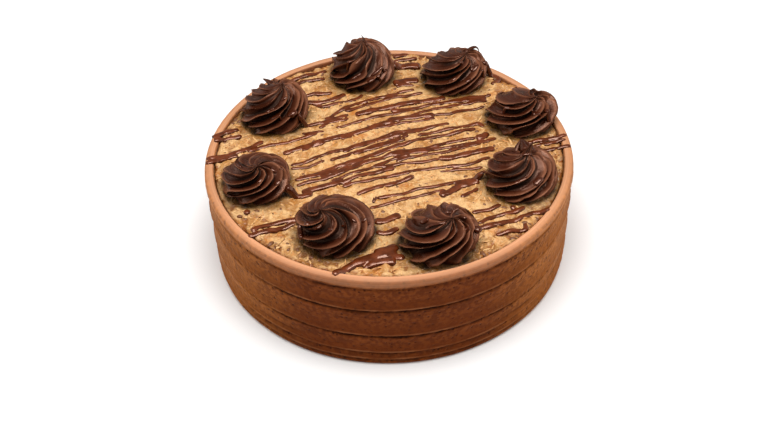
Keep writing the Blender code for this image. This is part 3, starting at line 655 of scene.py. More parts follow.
def wall_rows():
    """Heights of the wall's rows: even, with more of them round each ridge."""
    near_ridge = [ridge + offset * MM for ridge in RIDGE_HEIGHTS for offset in RIDGE_ROWS]
    top = CAKE_HEIGHT - LIP_SHOULDER_DROP
    count = round((top - FOOT_FILLET) / WALL_ROW_GAP)
    even = [FOOT_FILLET + (top - FOOT_FILLET) * row / count for row in range(count)]
    even = [height for height in even if all(abs(height - ridge) > RIDGE_ROOM for ridge in RIDGE_HEIGHTS)]
    return sorted(height for height in near_ridge + even if FOOT_FILLET <= height < top)


def icing_profile():
    """Middle of the underside, round the foot, up the wall, over the lip and into the recess."""
    points = [(0, 0), (0.5 * CAKE_RADIUS, 0)]
    corner = CAKE_RADIUS - STEP_DEPTH - FOOT_FILLET
    for facet in range(FOOT_FACETS):
        angle = math.pi / 2 * facet / FOOT_FACETS
        points.append((corner + FOOT_FILLET * math.sin(angle), FOOT_FILLET * (1 - math.cos(angle))))
    points += [(CAKE_RADIUS - wall_inset(height), height) for height in wall_rows()]
    middle = LIP_WIDTH / 2
    for facet in range(LIP_FACETS + 1):
        angle = math.pi * facet / LIP_FACETS
        drop = LIP_SHOULDER_DROP if angle <= math.pi / 2 else LIP_INNER_DROP
        inset = LIP_SHOULDER_INSET * (1 - math.sin(min(angle, math.pi / 2)))
        points.append((CAKE_RADIUS - middle + middle * math.cos(angle) - inset,
                       CAKE_HEIGHT - drop * (1 - math.sin(angle))))
    recess_floor = CAKE_HEIGHT - RECESS_DEPTH
    return points + [(RECESS_RADIUS, LIP_INNER_FOOT), (RECESS_RADIUS, recess_floor), (0, recess_floor)]


# How the icing departs from its profile. The last number of each ripple only picks its pattern.
SMOOTH_FLOOR = 0.1 * MM
SWELL_LENGTH = 38 * MM
BRUSH_DEPTH = 0.12 * MM
BRUSH_LENGTHS = (30, 1.6)
RIDGE_WANDER = 0.55 * MM
RIDGE_REACH = 4 * MM
TEAR_REACH = 0.5 * MM
NOTCH_DEPTH = 0.9 * MM
NOTCH_EDGE = (0.04 * MM, 0.22 * MM)
NOTCH_ROUND = 0.4 * MM
NOTCH_HEIGHT, NOTCH_HEIGHT_CHANGE = 2.3, 1.1
GLINT_DROP = 0.25 * MM
GLINT_EDGE = (0.15 * MM, 0.6 * MM)
DRAG_LINES = (7.6 * MM, 13.4 * MM, 40.6 * MM, 44.9 * MM, 56.6 * MM)
DRAG_DEPTH = 0.35 * MM
DRAG_WANDER = 1.2 * MM
DRAG_EDGE = (0.15 * MM, 0.8 * MM)
LIP_START = CAKE_HEIGHT - LIP_SHOULDER_DROP - 1 * MM
LIP_SAG = 0.45 * MM
LIP_SAG_RISE = (59 * MM, 62 * MM)
LIP_DIMPLE = 0.10 * MM
LIP_TOP = (CAKE_HEIGHT - 0.9 * MM, CAKE_HEIGHT - 0.3 * MM)
# Where the painted light of the lip starts, just above the top ridge.
LIT_LIP_EDGE = (58.8 * MM, 59.6 * MM)


def band_share(height):
    """0 just under a ridge, 1 just over the next one down; 0 on the lip."""
    for lower, upper in zip(RIDGE_HEIGHTS, RIDGE_HEIGHTS[1:]):
        if lower <= height < upper:
            return (upper - height) / (upper - lower)
    return 0.0


def lit_lip_share(reach, height):
    """How much of the pale smoothed lip icing shows, its pale colour painted light: a little above the top
    ridge, all of it on the lip, most at its inner edge as a painted highlight.
    """
    # Painted highlight, strongest towards the lip's inner edge.
    inner_light = 0.4 + 0.6 * blend(CAKE_RADIUS - reach, 0.25 * LIP_WIDTH, 0.75 * LIP_WIDTH)
    return 0.3 * blend(height, *LIT_LIP_EDGE) + 0.7 * inner_light * blend(height, *LIP_TOP)


def tear_share(x, y, number):
    """How torn the edge of a ridge is."""
    return max(0.0, ripple(x, y, 2.4 * MM, 5.3 * number + 2) + 0.4 * ripple(x, y, 9 * MM, number))


def notch_share(x, y, under, number):
    """The notch under a ridge, here and there broken: 1 in it, 0 outside it; it shapes the cut and places
    painted shade in it.
    """
    thick = (NOTCH_HEIGHT + NOTCH_HEIGHT_CHANGE * ripple(x, y, 4 * MM, 2.9 * number)) * MM
    notch = blend(under, *NOTCH_EDGE) * (1 - blend(under, thick - NOTCH_ROUND, thick))
    whole = ripple(x, y, 12 * MM, 7.7 * number) + 0.6 * ripple(x, y, 3.2 * MM, 4.1 * number)
    return notch * (0.4 + 0.6 * blend(whole, -0.3, 0.25))


def glint_share(x, y, under, number):
    """The painted highlight on the edge just above a ridge, which comes and goes."""
    glint = 1 - blend(abs(under + GLINT_DROP), *GLINT_EDGE)
    return glint * (0.35 + 0.65 * blend(ripple(x, y, 8 * MM, 3.3 * number), -0.3, 0.3))


def drag_share(x, y, above, number):
    """A faint line that the comb dragged along a band: 1 in it, 0 outside it."""
    drag = blend(ripple(x, y, 30 * MM, 2.2 * number + 0.5), 0.08, 0.35)
    return drag * (1 - blend(abs(above - DRAG_WANDER * ripple(x, y, 40 * MM, number)), *DRAG_EDGE))


def rough_up_icing(form, sizes):
    """Let the ridges wander and tear, and the wall and lip swell unevenly, always inside the true round."""
    names = ("groove_shade", "crest_highlight", "band", "pale")
    groove_shade, crest_highlight, band, pale = (form.verts.layers.float.new(name) for name in names)
    along, up = BRUSH_LENGTHS
    for vert in form.verts:
        x, y, height = vert.co
        reach = math.hypot(x, y)
        vert[band] = band_share(height)
        # pale marks the smoothed lip, whose paler colour is painted light.
        vert[pale] = lit_lip_share(reach, height)
        if reach < RECESS_RADIUS - 0.01 * MM or height < SMOOTH_FLOOR:
            continue
        inset = sizes.wall_unevenness * (0.5 + 0.5 * noise.noise(vert.co / SWELL_LENGTH))
        inset += BRUSH_DEPTH * (0.5 + 0.5 * noise.noise(Vector((x / along, y / along, height / up)) / MM))
        lift = 0.0
        for number, (ridge, strength) in enumerate(zip(RIDGE_HEIGHTS, RIDGE_STRENGTHS)):
            away, under = abs(height - ridge), ridge - height
            nearness = 1 - blend(away, 0.0, RIDGE_REACH)
            lift += nearness * RIDGE_WANDER * ripple(x, y, 34 * MM, 3.1 * number)
            edge = 1 - blend(away, 0.0, TEAR_REACH)
            inset += edge * sizes.crest_raggedness * tear_share(x, y, number)
            notch = notch_share(x, y, under, number)
            inset += NOTCH_DEPTH * notch * (0.4 + 0.6 * strength)
            # Painted shade in the notch under each ridge, and at half strength along each drag line.
            vert[groove_shade] = max(vert[groove_shade], notch * strength)
            # Painted highlight just above each ridge.
            vert[crest_highlight] = max(vert[crest_highlight], glint_share(x, y, under, number))
        for number, line in enumerate(DRAG_LINES):
            drag = drag_share(x, y, height - line, number)
            inset += DRAG_DEPTH * drag
            vert[groove_shade] = max(vert[groove_shade], 0.5 * drag)
        if height > LIP_START:
            lift -= LIP_SAG * (0.5 + 0.5 * ripple(x, y, 26 * MM, 8.8)) * blend(height, *LIP_SAG_RISE)
            lift -= LIP_DIMPLE * (0.5 + 0.5 * ripple(x, y, 5 * MM, 4.4))
        inner = blend(reach, RECESS_RADIUS, RECESS_RADIUS + 2 * MM)
        scale = (reach - inset * inner) / reach
        vert.co.x *= scale
        vert.co.y *= scale
        vert.co.z = height + lift * blend(height, 0.0, 3 * MM)


# Spread ---------------------------------------------------------------------------------------------

SPREAD_CELLS = 300
LUMP_LENGTH = 13 * MM
LUMP_MARGINS = (6 * MM, 16 * MM)
DIP_MARGINS = (0.0, 5 * MM)
CALM_MARGINS = (-1 * MM, 3 * MM)
BACK_RISE = 0.8 * MM
BACK_START = (-20 * MM, 40 * MM)
RIM_DROP = 0.7 * MM
RIM_WIDTH = 1.2 * MM
RIM_RAGGEDNESS = 0.5 * MM
WET_START = -1 * MM


def rosette_distance(x, y):
    """How far a spot is outside the nearest rosette's widest ring; negative under a rosette."""
    return min(math.hypot(x - rosette.x * MM, y - rosette.y * MM) - rosette.radius * MM
               for rosette in ROSETTES)


def curd(x, y):
    """Small lumps of the spread, in millimetres."""
    return 0.6 * ripple(x, y, 4.2 * MM, 1.7) + 0.35 * ripple(x, y, 2.1 * MM, 6.1)


def spread_height(x, y, lump_height):
    """Height of the spread: lumps along the drizzle, rougher by the lip, level under the rosettes."""
    along = Vector((x * 0.5 - y * 0.15, y + x * 0.3, 0)) / LUMP_LENGTH
    lumps = noise.noise(along) + 0.5 * noise.noise(along * 2.3)
    reach = math.hypot(x, y)
    by_lip = blend(reach, 0.75 * SPREAD_RADIUS, 0.95 * SPREAD_RADIUS)
    outside = rosette_distance(x, y)
    margins = LUMP_MARGINS if lumps > 0 else DIP_MARGINS
    height = SPREAD_LEVEL + lump_height * (1 + 0.9 * by_lip) * blend(outside, *margins) * lumps
    height += MM * blend(outside, *CALM_MARGINS) * curd(x, y) * (0.65 + 1.75 * by_lip)
    height += BACK_RISE * by_lip * blend(y, *BACK_START)
    return height - RIM_DROP * blend(reach, SPREAD_RADIUS - RIM_WIDTH, SPREAD_RADIUS)


def round_grid(form):
    """Ease a square grid from -1 to 1 into a round one."""
    for vert in form.verts:
        a, b = vert.co.x, vert.co.y
        if abs(a) < 1e-9 and abs(b) < 1e-9:
            continue
        if a * a > b * b:
            reach, angle = a, math.pi / 4 * b / a
        else:
            reach, angle = b, math.pi / 2 - math.pi / 4 * a / b
        vert.co.x, vert.co.y = reach * math.cos(angle), reach * math.sin(angle)


def soaking_and_shade(x, y):
    """How wet the spread is beside the rosettes, in an uneven stain, with painted shade that is darkest at
    their feet.
    """
    outside = rosette_distance(x, y)
    wet = 1 - blend(outside, WET_START, (7 + 4 * ripple(x, y, 12 * MM, 2.0)) * MM)
    # Painted shadow, darkest at the feet of the rosettes.
    foot = 1 - blend(outside, WET_START, (1.0 + ripple(x, y, 4 * MM, 3.0)) * MM)
    return wet * (0.75 + 0.5 * ripple(x, y, 5 * MM, 4.0)) + 0.3 * foot


def spread_form(sizes):
    form = bmesh.new()
    bmesh.ops.create_grid(form, x_segments=SPREAD_CELLS, y_segments=SPREAD_CELLS, size=1.0)
    round_grid(form)
    soaked_and_shaded, pit_shade = form.verts.layers.float.new("soaked_and_shaded"), form.verts.layers.float.new("pit_shade")
    for vert in form.verts:
        reach = math.hypot(vert.co.x, vert.co.y)
        ragged = RIM_RAGGEDNESS * blend(reach, 0.9, 1.0) * (1 + ripple(vert.co.x, vert.co.y, 0.05, 9.0))
        x, y = vert.co.x * (SPREAD_RADIUS - ragged), vert.co.y * (SPREAD_RADIUS - ragged)
        vert.co = (x, y, spread_height(x, y, sizes.lump_height))
        vert[soaked_and_shaded] = soaking_and_shade(x, y)
        # Painted shade in the hollows of the lumps, stronger towards the lip, and at the rim.
        crevice_shade = 0.3 + 0.7 * blend(reach, 0.72, 0.9)
        vert[pit_shade] = 0.85 * crevice_shade * blend(-curd(x, y), 0.06, 0.3) + 0.6 * blend(reach, 0.975, 1.0)
    rim = [edge for edge in form.edges if edge.is_boundary]
    skirt = bmesh.ops.extrude_edge_only(form, edges=rim)["geom"]
    for part in skirt:
        if isinstance(part, bmesh.types.BMVert):
            part.co.z = SPREAD_FLOOR
    bmesh.ops.holes_fill(form, edges=[edge for edge in form.edges if edge.is_boundary], sides=0)
    bmesh.ops.recalc_face_normals(form, faces=form.faces)
    return form


class Surface:
    """Finds the top of the pieces under a spot of the plan."""

    def __init__(self, *names):
        self.trees = []
        for name in names:
            form = bmesh.new()
            form.from_mesh(bpy.data.objects[name].data)
            self.trees.append(BVHTree.FromBMesh(form))
            form.free()

    def top(self, x, y):
        """The height of the highest piece there."""
        hits = [tree.ray_cast(Vector((x, y, 0.2)), Vector((0, 0, -1)))[0] for tree in self.trees]
        heights = [spot.z for spot in hits if spot is not None]
        if not heights:
            raise RuntimeError(f"nothing to lie on at {x:.4f}, {y:.4f}")
        return max(heights)


# Small toppings -------------------------------------------------------------------------------------

TRIES_PER_PLACE = 200
SHRED_SEED = 11
SHRED_REACH = 3 * MM
SHRED_SPACING = 1.8 * MM
SHRED_THICKNESS = 0.35 * MM
SHRED_CUTS = 3
PECAN_SEED = 5
PECAN_REACH = 1.6 * MM
PECAN_SPACING = 2.6 * MM
PECAN_SINK = 0.25


def scatter_places(draw, count, reach, spacing):
    """Spots on the spread, clear of the rosettes and of each other."""
    places = []
    grid = {}
    tries = 0
    while len(places) < count:
        tries += 1
        if tries > TRIES_PER_PLACE * count:
            raise RuntimeError("no room left on the spread for the small toppings")
        radius = SPREAD_RADIUS * math.sqrt(draw.uniform(0.0, 1.0))
        angle = draw.uniform(0, math.tau)
        spot = Vector((radius * math.cos(angle), radius * math.sin(angle)))
        if radius > SPREAD_RADIUS - reach or rosette_distance(*spot) < reach * 0.5:
            continue
        column, row = int(spot.x // spacing), int(spot.y // spacing)
        near = [other for i in (-1, 0, 1) for j in (-1, 0, 1)
                for other in grid.get((column + i, row + j), ())]
        if all((spot - other).length > spacing for other in near):
            places.append(spot)
            grid.setdefault((column, row), []).append(spot)
    return places


def add_shred(form, toast, draw, spot, level, length, width, tilt):
    """A coconut shred: a thin strip that bends as it lies, half sunk in the spread."""
    start = len(form.verts)
    bend = draw.uniform(-1.6, 1.6)
    grown = bmesh.ops.create_cube(form, size=1.0)["verts"]
    ends = [edge for edge in {edge for vert in grown for edge in vert.link_edges}
            if abs(edge.verts[0].co.x - edge.verts[1].co.x) > 0.5]
    bmesh.ops.subdivide_edges(form, edges=ends, cuts=SHRED_CUTS, use_grid_fill=True)
    form.verts.ensure_lookup_table()
    colour = draw.uniform(0, 1) ** 2
    turn = draw.uniform(0, math.tau)
    for vert in form.verts[start:]:
        along, across, up = vert.co
        taper = 1 - 0.6 * abs(along * 2) ** 3
        angle = bend * along
        x = along * length * (1 - 0.15 * angle * angle) - across * width * taper * math.sin(angle)
        y = 0.35 * length * bend * along * along + across * width * taper * math.cos(angle)
        z = up * SHRED_THICKNESS + tilt * along * length
        vert.co = (spot.x + x * math.cos(turn) - y * math.sin(turn),
                   spot.y + x * math.sin(turn) + y * math.cos(turn), level + z)
        vert[toast] = colour


def add_pecan(form, draw, spot, level, size):
    """A chopped pecan bit: an uneven lump, half sunk in the spread."""
    grown = bmesh.ops.create_icosphere(form, subdivisions=2, radius=size)["verts"]
    for vert in grown:
        vert.co *= 1 + 0.28 * noise.noise(vert.co / size * 1.3 + Vector((spot.x, spot.y, 0)) * 400)
    turn = Matrix.Rotation(draw.uniform(0, math.tau), 4, "Z")
    stretch = Matrix.Diagonal((draw.uniform(0.9, 1.5), draw.uniform(0.6, 1.0), draw.uniform(0.45, 0.75), 1.0))
    placed = Matrix.Translation((spot.x, spot.y, level)) @ turn @ stretch
    bmesh.ops.transform(form, matrix=placed, verts=grown)


# Rosettes -------------------------------------------------------------------------------------------

FOOT_ANGLE = math.radians(-24)
TOP_ANGLE = math.radians(80)
FOOT_LEVEL = math.sin(FOOT_ANGLE)
DOME_RINGS = 66
DOME_MIDDLE = 1e-6
PEAK_RINGS = 6
PEAK_CURVE = 1.4
POINTS_PER_FOLD = 24
TURN_BETWEEN = 1.3
CREST_WIDTH = 0.06
CREST_SHARPNESS = 0.5
CREST_CURL = 0.9
FOLD_STEEPNESS = 0.55
FOLD_SKEW = 0.68
FOLD_SWAY = 0.35
FLAT_FOOT = 0.35
# The far left of every rosette is pressed less deep.
FAR_LEFT = math.radians(140)
FAR_LEFT_SHARE = 0.45
LEAN_CURVE = 2.2
LIP_REST_RISE = 0.5 * MM
LIP_REST_SLOPE = 0.45
SEAT_GAP = 0.1 * MM
CURL_SIDES = 8
CURL_CUTS = 7


def dome_outline(radius, dome, peak):
    """The plain dome that a rosette is folded from: tucked in at its foot, with a small tip."""
    outline = [(0, 0), (0.5 * radius, 0)]
    for ring in range(DOME_RINGS):
        rise = FOOT_ANGLE + (TOP_ANGLE - FOOT_ANGLE) * ring / (DOME_RINGS - 1)
        outline.append((radius * math.cos(rise), dome * (math.sin(rise) - FOOT_LEVEL) / (1 - FOOT_LEVEL)))
    last_radius, last_height = outline[-1]
    for ring in range(1, PEAK_RINGS):
        share = ring / PEAK_RINGS
        outline.append((last_radius * (1 - share),
                        last_height + (dome + peak - last_height) * share ** PEAK_CURVE))
    return outline + [(0, dome + peak)]


def rosette_level(height, dome):
    """0 at the foot of a rosette, 1 at the top of its dome, from a height on it."""
    rise = math.asin(min(1.0, FOOT_LEVEL + (1 - FOOT_LEVEL) * height / dome))
    return min(1.0, (rise - FOOT_ANGLE) / (TOP_ANGLE - FOOT_ANGLE))


def fold_noise(around, climb, pattern=(0, 0, 0)):
    """Noise over a rosette, by the way a spot faces and its height; the pattern only picks another part."""
    return noise.noise(around + climb + Vector(pattern))


def press_folds(form, rosette, phase, fold_depth):
    """Press the folds in square to the dome: thin crests and deep round valleys that turn as they climb."""
    radius = rosette.radius * MM
    fold_angle = math.tau / rosette.folds
    crest_highlight, streak, hollow = (form.verts.layers.float.new(name) for name in ("crest_highlight", "streak", "valley"))
    for vert in form.verts:
        reach = math.hypot(vert.co.x, vert.co.y)
        if reach < DOME_MIDDLE:
            continue
        level = rosette_level(vert.co.z, rosette.dome * MM)
        rise = FOOT_ANGLE + (TOP_ANGLE - FOOT_ANGLE) * level
        angle = math.atan2(vert.co.y, vert.co.x)
        around = Vector((math.cos(angle), math.sin(angle), 0))
        climb = Vector((0, 0, 1.6 * level + phase))
        place_in_fold = (angle / fold_angle % 1.0) ** FOLD_SKEW
        across = max(0.0, math.sin(place_in_fold * math.pi) - CREST_WIDTH) / (1 - CREST_WIDTH)
        valley = across ** CREST_SHARPNESS
        swung = angle + math.radians(rosette.turn) * level + phase
        wave = 1 + 3.5 * rosette.uneven * fold_noise(around * 1.6, climb)
        wave *= 1 - FAR_LEFT_SHARE * max(0.0, math.cos(swung - FAR_LEFT))
        depth = valley * wave * min(fold_depth * radius, FOLD_STEEPNESS * fold_angle * reach)
        line = fold_noise(around * 30, climb * 1.5)
        rib = fold_noise(around * 11, climb * 1.2)
        torn = max(0.0, fold_noise(around * 4, climb * 4, (5, 0, 0)) - 0.1)
        depth += (0.16 * line + 0.5 * rib + 2.4 * (1 - valley) * torn) * MM
        depth += 0.6 * MM * fold_noise(around * 2.5, climb * 2.5)
        reach -= depth * math.cos(rise)
        vert.co.z -= depth * math.sin(rise) * blend(level, 0.0, FLAT_FOOT)
        swung += FOLD_SWAY * fold_angle * fold_noise(around * 1.2, climb * 2, (0, 9, 0))
        curl = fold_noise(around * 1.4, climb * 1.5, (0, 3, 7))
        swung += CREST_CURL * fold_angle * (1 - valley) * curl
        vert.co.x, vert.co.y = reach * math.cos(swung), reach * math.sin(swung)
        # edge places the painted highlight along the thin crests.
        edge = 0.3 * (1 - blend(across, 0.0, 0.4)) + 0.65 * (1 - blend(across, 0.0, 0.1))
        vert[crest_highlight] = edge * (0.7 + 0.6 * fold_noise(around * 6, climb * 3))
        vert[streak] = 0.5 + 0.5 * line
        # The valley attribute places painted shade, darkest deep in each fold.
        vert[hollow] = blend(across, 0.3, 0.88) * blend(wave, 0.6, 1.0)


def lean_middle(form, rosette):
    """Push the middle of a rosette sideways, more the higher it is."""
    heading = math.radians(rosette.heading)
    top = max(vert.co.z for vert in form.verts)
    for vert in form.verts:
        shift = rosette.lean * rosette.radius * MM * max(0.0, vert.co.z / top) ** LEAN_CURVE
        vert.co.x += shift * math.cos(heading)
        vert.co.y += shift * math.sin(heading)


def settle_on_lip(form, seat):
    """Where a rosette reaches over the lip of the icing, tuck its underside in so that it rests there."""
    for vert in form.verts:
        spot = Vector((vert.co.x + seat.x, vert.co.y + seat.y))
        over_lip = max(0.0, seat.z + vert.co.z - CAKE_HEIGHT - LIP_REST_RISE)
        allowed = SPREAD_RADIUS + over_lip / LIP_REST_SLOPE
        if spot.length > allowed:
            spot *= allowed / spot.length
            vert.co.x, vert.co.y = spot.x - seat.x, spot.y - seat.y


def add_wisp(form, wisp):
    """A thin curl of ganache, bent and drawn out to a point."""
    root, bend, tip = (Vector(spot) * MM for spot in (wisp.root, wisp.bend, wisp.tip))
    curl = bmesh.new()
    bmesh.ops.create_cone(curl, cap_ends=True, segments=CURL_SIDES, radius1=1.0, radius2=1.0, depth=1.0)
    sides = [edge for edge in curl.edges if abs(edge.verts[0].co.z - edge.verts[1].co.z) > 0.5]
    bmesh.ops.subdivide_edges(curl, edges=sides, cuts=CURL_CUTS, use_grid_fill=True)
    for vert in curl.verts:
        share = vert.co.z + 0.5
        spot = root.lerp(bend, share).lerp(bend.lerp(tip, share), share)
        along = (bend - root).lerp(tip - bend, share).normalized()
        side = along.cross(Vector((0, 1, 0))).normalized()
        thickness = wisp.width * MM * (1 - 0.9 * share) / 2
        vert.co = spot + (side * vert.co.x + along.cross(side) * vert.co.y) * thickness
    mesh = mesh_of("curl", curl)
    form.from_mesh(mesh)
    bpy.data.meshes.remove(mesh)


def rosette_form(number, rosette, fold_depth):
    seat = Vector((rosette.x * MM, rosette.y * MM, SPREAD_LEVEL + SEAT_GAP))
    form = turned(dome_outline(rosette.radius * MM, rosette.dome * MM, rosette.peak * MM),
                  rosette.folds * POINTS_PER_FOLD)
    press_folds(form, rosette, number * TURN_BETWEEN, fold_depth)
    lean_middle(form, rosette)
    settle_on_lip(form, seat)
    bmesh.ops.translate(form, vec=seat, verts=form.verts)
    for wisp in WISPS:
        if wisp.rosette == number:
            add_wisp(form, wisp)
    bmesh.ops.recalc_face_normals(form, faces=form.faces)
    return form


# Drizzle --------------------------------------------------------------------------------------------

STRAND_STEP = 0.8 * MM
STRAND_SINK = 0.05
STRAND_FLATNESS = 0.6
STRAND_SPREADING = 1.45
STRAND_END = 1.2 * MM
WANDER_END = 4 * MM
WANDER_WAY = (-0.3, 1)
SHORT_STRAND = 6
WIDEST_ROUND = 3.4 * MM
BEAD_RESOLUTION = 2
# Over these heights a strand no longer bridges dips, but clings to the folds of a rosette.
DRAPED = (64.5 * MM, 66 * MM)
DRIZZLE_VOXEL = 0.4 * MM
DRIZZLE_SHARE = 0.48


def smooth_run(spots, step):
    """Places a step apart on a smooth curve through the spots."""
    ends = [2 * spots[0] - spots[1], *spots, 2 * spots[-1] - spots[-2]]
    places = []
    for before, start, end, after in zip(ends, ends[1:], ends[2:], ends[3:]):
        count = max(2, round((end - start).length / step))
        for share in (number / count for number in range(count)):
            places.append(start + 0.5 * share * (end - before + share * (
                2 * before - 5 * start + 4 * end - after + share * (3 * start - before - 3 * end + after))))
    return [*places, spots[-1]]


def along_run(run, length, pattern, part=0.0):
    """Smooth noise along a strand, with bumps of the length given; the other numbers pick its pattern."""
    return noise.noise(Vector((run / length, pattern, part)))


def strand_points(strand, number, surface):
    """A strand as it lies on what is under it, as (place, width) pairs."""
    places = smooth_run([Vector(spot) * MM for spot in strand.path], STRAND_STEP)
    path = []
    for at, place_on_run in enumerate(places):
        run = at * STRAND_STEP
        to_end = min(run, (len(places) - 1 - at) * STRAND_STEP)
        wander = 0.8 * MM * along_run(run, 11 * MM, number * 3.7)
        wander += 0.35 * MM * along_run(run, 4 * MM, number * 5.1, 4.0)
        spot = place_on_run + Vector(WANDER_WAY) * wander * blend(to_end, 0.0, WANDER_END)
        width = strand.width * MM * STRAND_SPREADING * (1 + 0.3 * along_run(run, 6 * MM, number * 2.3, 9.0))
        width *= 0.5 + 0.5 * blend(to_end, 0.0, STRAND_END)
        if spot.length > CAKE_RADIUS - width / 2:
            continue
        path.append((Vector((*spot, surface.top(spot.x, spot.y) - STRAND_SINK * width)), width))
    return path if len(path) < SHORT_STRAND else eased(path)


def eased(path):
    """Let a strand bridge small dips of the spread and round off its steps."""
    heights = [spot.z for spot, _ in path]
    held = [max(heights[max(0, at - 2):at + 3]) for at in range(len(path))]
    for at, (spot, _) in enumerate(path):
        near = held[max(0, at - 2):at + 3]
        eased_height = max(sum(near) / len(near), heights[at])
        spot.z = heights[at] + (eased_height - heights[at]) * (1 - blend(spot.z, *DRAPED))
    return path


def strand_mesh(strand, path):
    """One strand as a round bead whose width changes along it, then pressed flatter."""
    flatness = STRAND_FLATNESS * min(1.0, WIDEST_ROUND / (strand.width * MM))
    curve = bpy.data.curves.new("strand", "CURVE")
    curve.dimensions = "3D"
    curve.bevel_depth = 1.0
    curve.bevel_resolution = BEAD_RESOLUTION
    curve.use_fill_caps = True
    spline = curve.splines.new("POLY")
    spline.points.add(len(path) - 1)
    for point, (spot, width) in zip(spline.points, path):
        point.co = (spot.x, spot.y, spot.z / flatness, 1.0)
        point.radius = width / 2
    mesh = finished_mesh(link_object("strand", curve))
    mesh.transform(Matrix.Diagonal((1.0, 1.0, flatness, 1.0)))
    return mesh


def merged_beads(meshes):
    """Join beads that touch into one flowing skin."""
    form = bmesh.new()
    for mesh in meshes:
        form.from_mesh(mesh)
    bmesh.ops.remove_doubles(form, verts=form.verts, dist=MERGE_GAP)
    holder = link_object("beads", mesh_of("beads", form))
    for kind, options in (("REMESH", {"mode": "VOXEL", "voxel_size": DRIZZLE_VOXEL}),
                          ("SMOOTH", {"factor": 0.5, "iterations": 3}),
                          ("DECIMATE", {"ratio": DRIZZLE_SHARE})):
        modifier = holder.modifiers.new(kind.lower(), kind)
        for option, value in options.items():
            setattr(modifier, option, value)
    return finished_mesh(holder)


# Operators ------------------------------------------------------------------------------------------

ROSETTE_PIECES = [f"piped_rosette_{number}" for number in range(1, len(ROSETTES) + 1)]


def add_topping(name, form, material):
    """Add a piece that lies in the recess and stands for the topping with the others there."""
    add_piece(name, mesh_of(name, form), material, "coconut_pecan_spread", "coconut_pecan_topping")


class CAKE_OT_icing(bpy.types.Operator):
    """Make the combed wall and the lip of chocolate icing"""
    bl_idname = "cake.icing"
    bl_label = "Iced cake"

    def execute(self, context):
        form = turned(icing_profile(), WALL_STEPS)
        rough_up_icing(form, context.scene.cake_sizes)
        add_piece("combed_icing", mesh_of("combed_icing", form), icing_material(context.scene.cake_colours),
                  "chocolate_icing", "cake")
        return {"FINISHED"}


class CAKE_OT_spread(bpy.types.Operator):
    """Make the coconut and pecan spread inside the lip"""
    bl_idname = "cake.spread"
    bl_label = "Coconut spread"

    def execute(self, context):
        form = spread_form(context.scene.cake_sizes)
        add_topping("coconut_spread", form, spread_material(context.scene.cake_colours))
        return {"FINISHED"}


class CAKE_OT_shreds(bpy.types.Operator):
    """Scatter coconut shreds over the spread"""
    bl_idname = "cake.shreds"
    bl_label = "Coconut shreds"

    def execute(self, context):
        draw = random.Random(SHRED_SEED)
        surface = Surface("coconut_spread")
        form = bmesh.new()
        toast = form.verts.layers.float.new("toast")
        for spot in scatter_places(draw, context.scene.cake_sizes.shred_count, SHRED_REACH, SHRED_SPACING):
            add_shred(form, toast, draw, spot, level=surface.top(*spot) + draw.uniform(-0.12, 0.10) * MM,
                      length=draw.uniform(3.0, 6.5) * MM, width=draw.uniform(0.7, 1.2) * MM,
                      tilt=draw.uniform(-0.08, 0.08))
        bmesh.ops.recalc_face_normals(form, faces=form.faces)
        add_topping("coconut_shreds", form, shred_material(context.scene.cake_colours))
        return {"FINISHED"}


class CAKE_OT_pecans(bpy.types.Operator):
    """Scatter chopped pecan bits over the spread"""
    bl_idname = "cake.pecans"
    bl_label = "Pecan bits"

    def execute(self, context):
        draw = random.Random(PECAN_SEED)
        surface = Surface("coconut_spread")
        form = bmesh.new()
        spots = scatter_places(draw, context.scene.cake_sizes.pecan_count, PECAN_REACH, PECAN_SPACING)
        bits = [(spot, 0.45 * MM + 1.1 * MM * draw.random() ** 3) for spot in spots]
        bits += [(Vector((x, y)) * MM, size * MM) for x, y, size in LARGE_BITS]
        for spot, size in bits:
            add_pecan(form, draw, spot, surface.top(*spot) - PECAN_SINK * size, size)
        add_topping("pecan_bits", form, pecan_material(context.scene.cake_colours))
        return {"FINISHED"}


class CAKE_OT_rosettes(bpy.types.Operator):
    """Pipe the eight rosettes"""
    bl_idname = "cake.rosettes"
    bl_label = "Piped rosettes"

    def execute(self, context):
        material = ganache_material(context.scene.cake_colours)
        for number, (name, rosette) in enumerate(zip(ROSETTE_PIECES, ROSETTES), start=1):
            form = rosette_form(number, rosette, context.scene.cake_sizes.fold_depth)
            add_piece(name, mesh_of(name, form), material, "piped_chocolate", f"rosette_{number}")
        return {"FINISHED"}


class CAKE_OT_drizzle(bpy.types.Operator):
    """Pour the strands of chocolate over the spread"""
    bl_idname = "cake.drizzle"
    bl_label = "Chocolate drizzle"

    def execute(self, context):
        surface = Surface("combed_icing", "coconut_spread", *ROSETTE_PIECES)
        beads = [strand_mesh(strand, strand_points(strand, number, surface))
                 for number, strand in enumerate(STRANDS)]
        add_piece("chocolate_drizzle", merged_beads(beads), drizzle_material(context.scene.cake_colours),
                  "piped_chocolate", "coconut_pecan_topping")
        return {"FINISHED"}


# Studio ---------------------------------------------------------------------------------------------

# The camera aims at a spot of the plane x, z, stands back from it and is rolled a little.
CAMERA_DISTANCE = 617 * MM
CAMERA_RISE = math.radians(42.5)
CAMERA_AIM = Vector((-0.38 * MM, 0.0, 10.5 * MM))
CAMERA_ROLL = math.radians(-1.83)
CAMERA_SENSOR = 36
PICTURE_WIDTH = 780
CAMERA_LENS = 1030 * CAMERA_SENSOR / PICTURE_WIDTH
CAMERA_REACH = 50.0
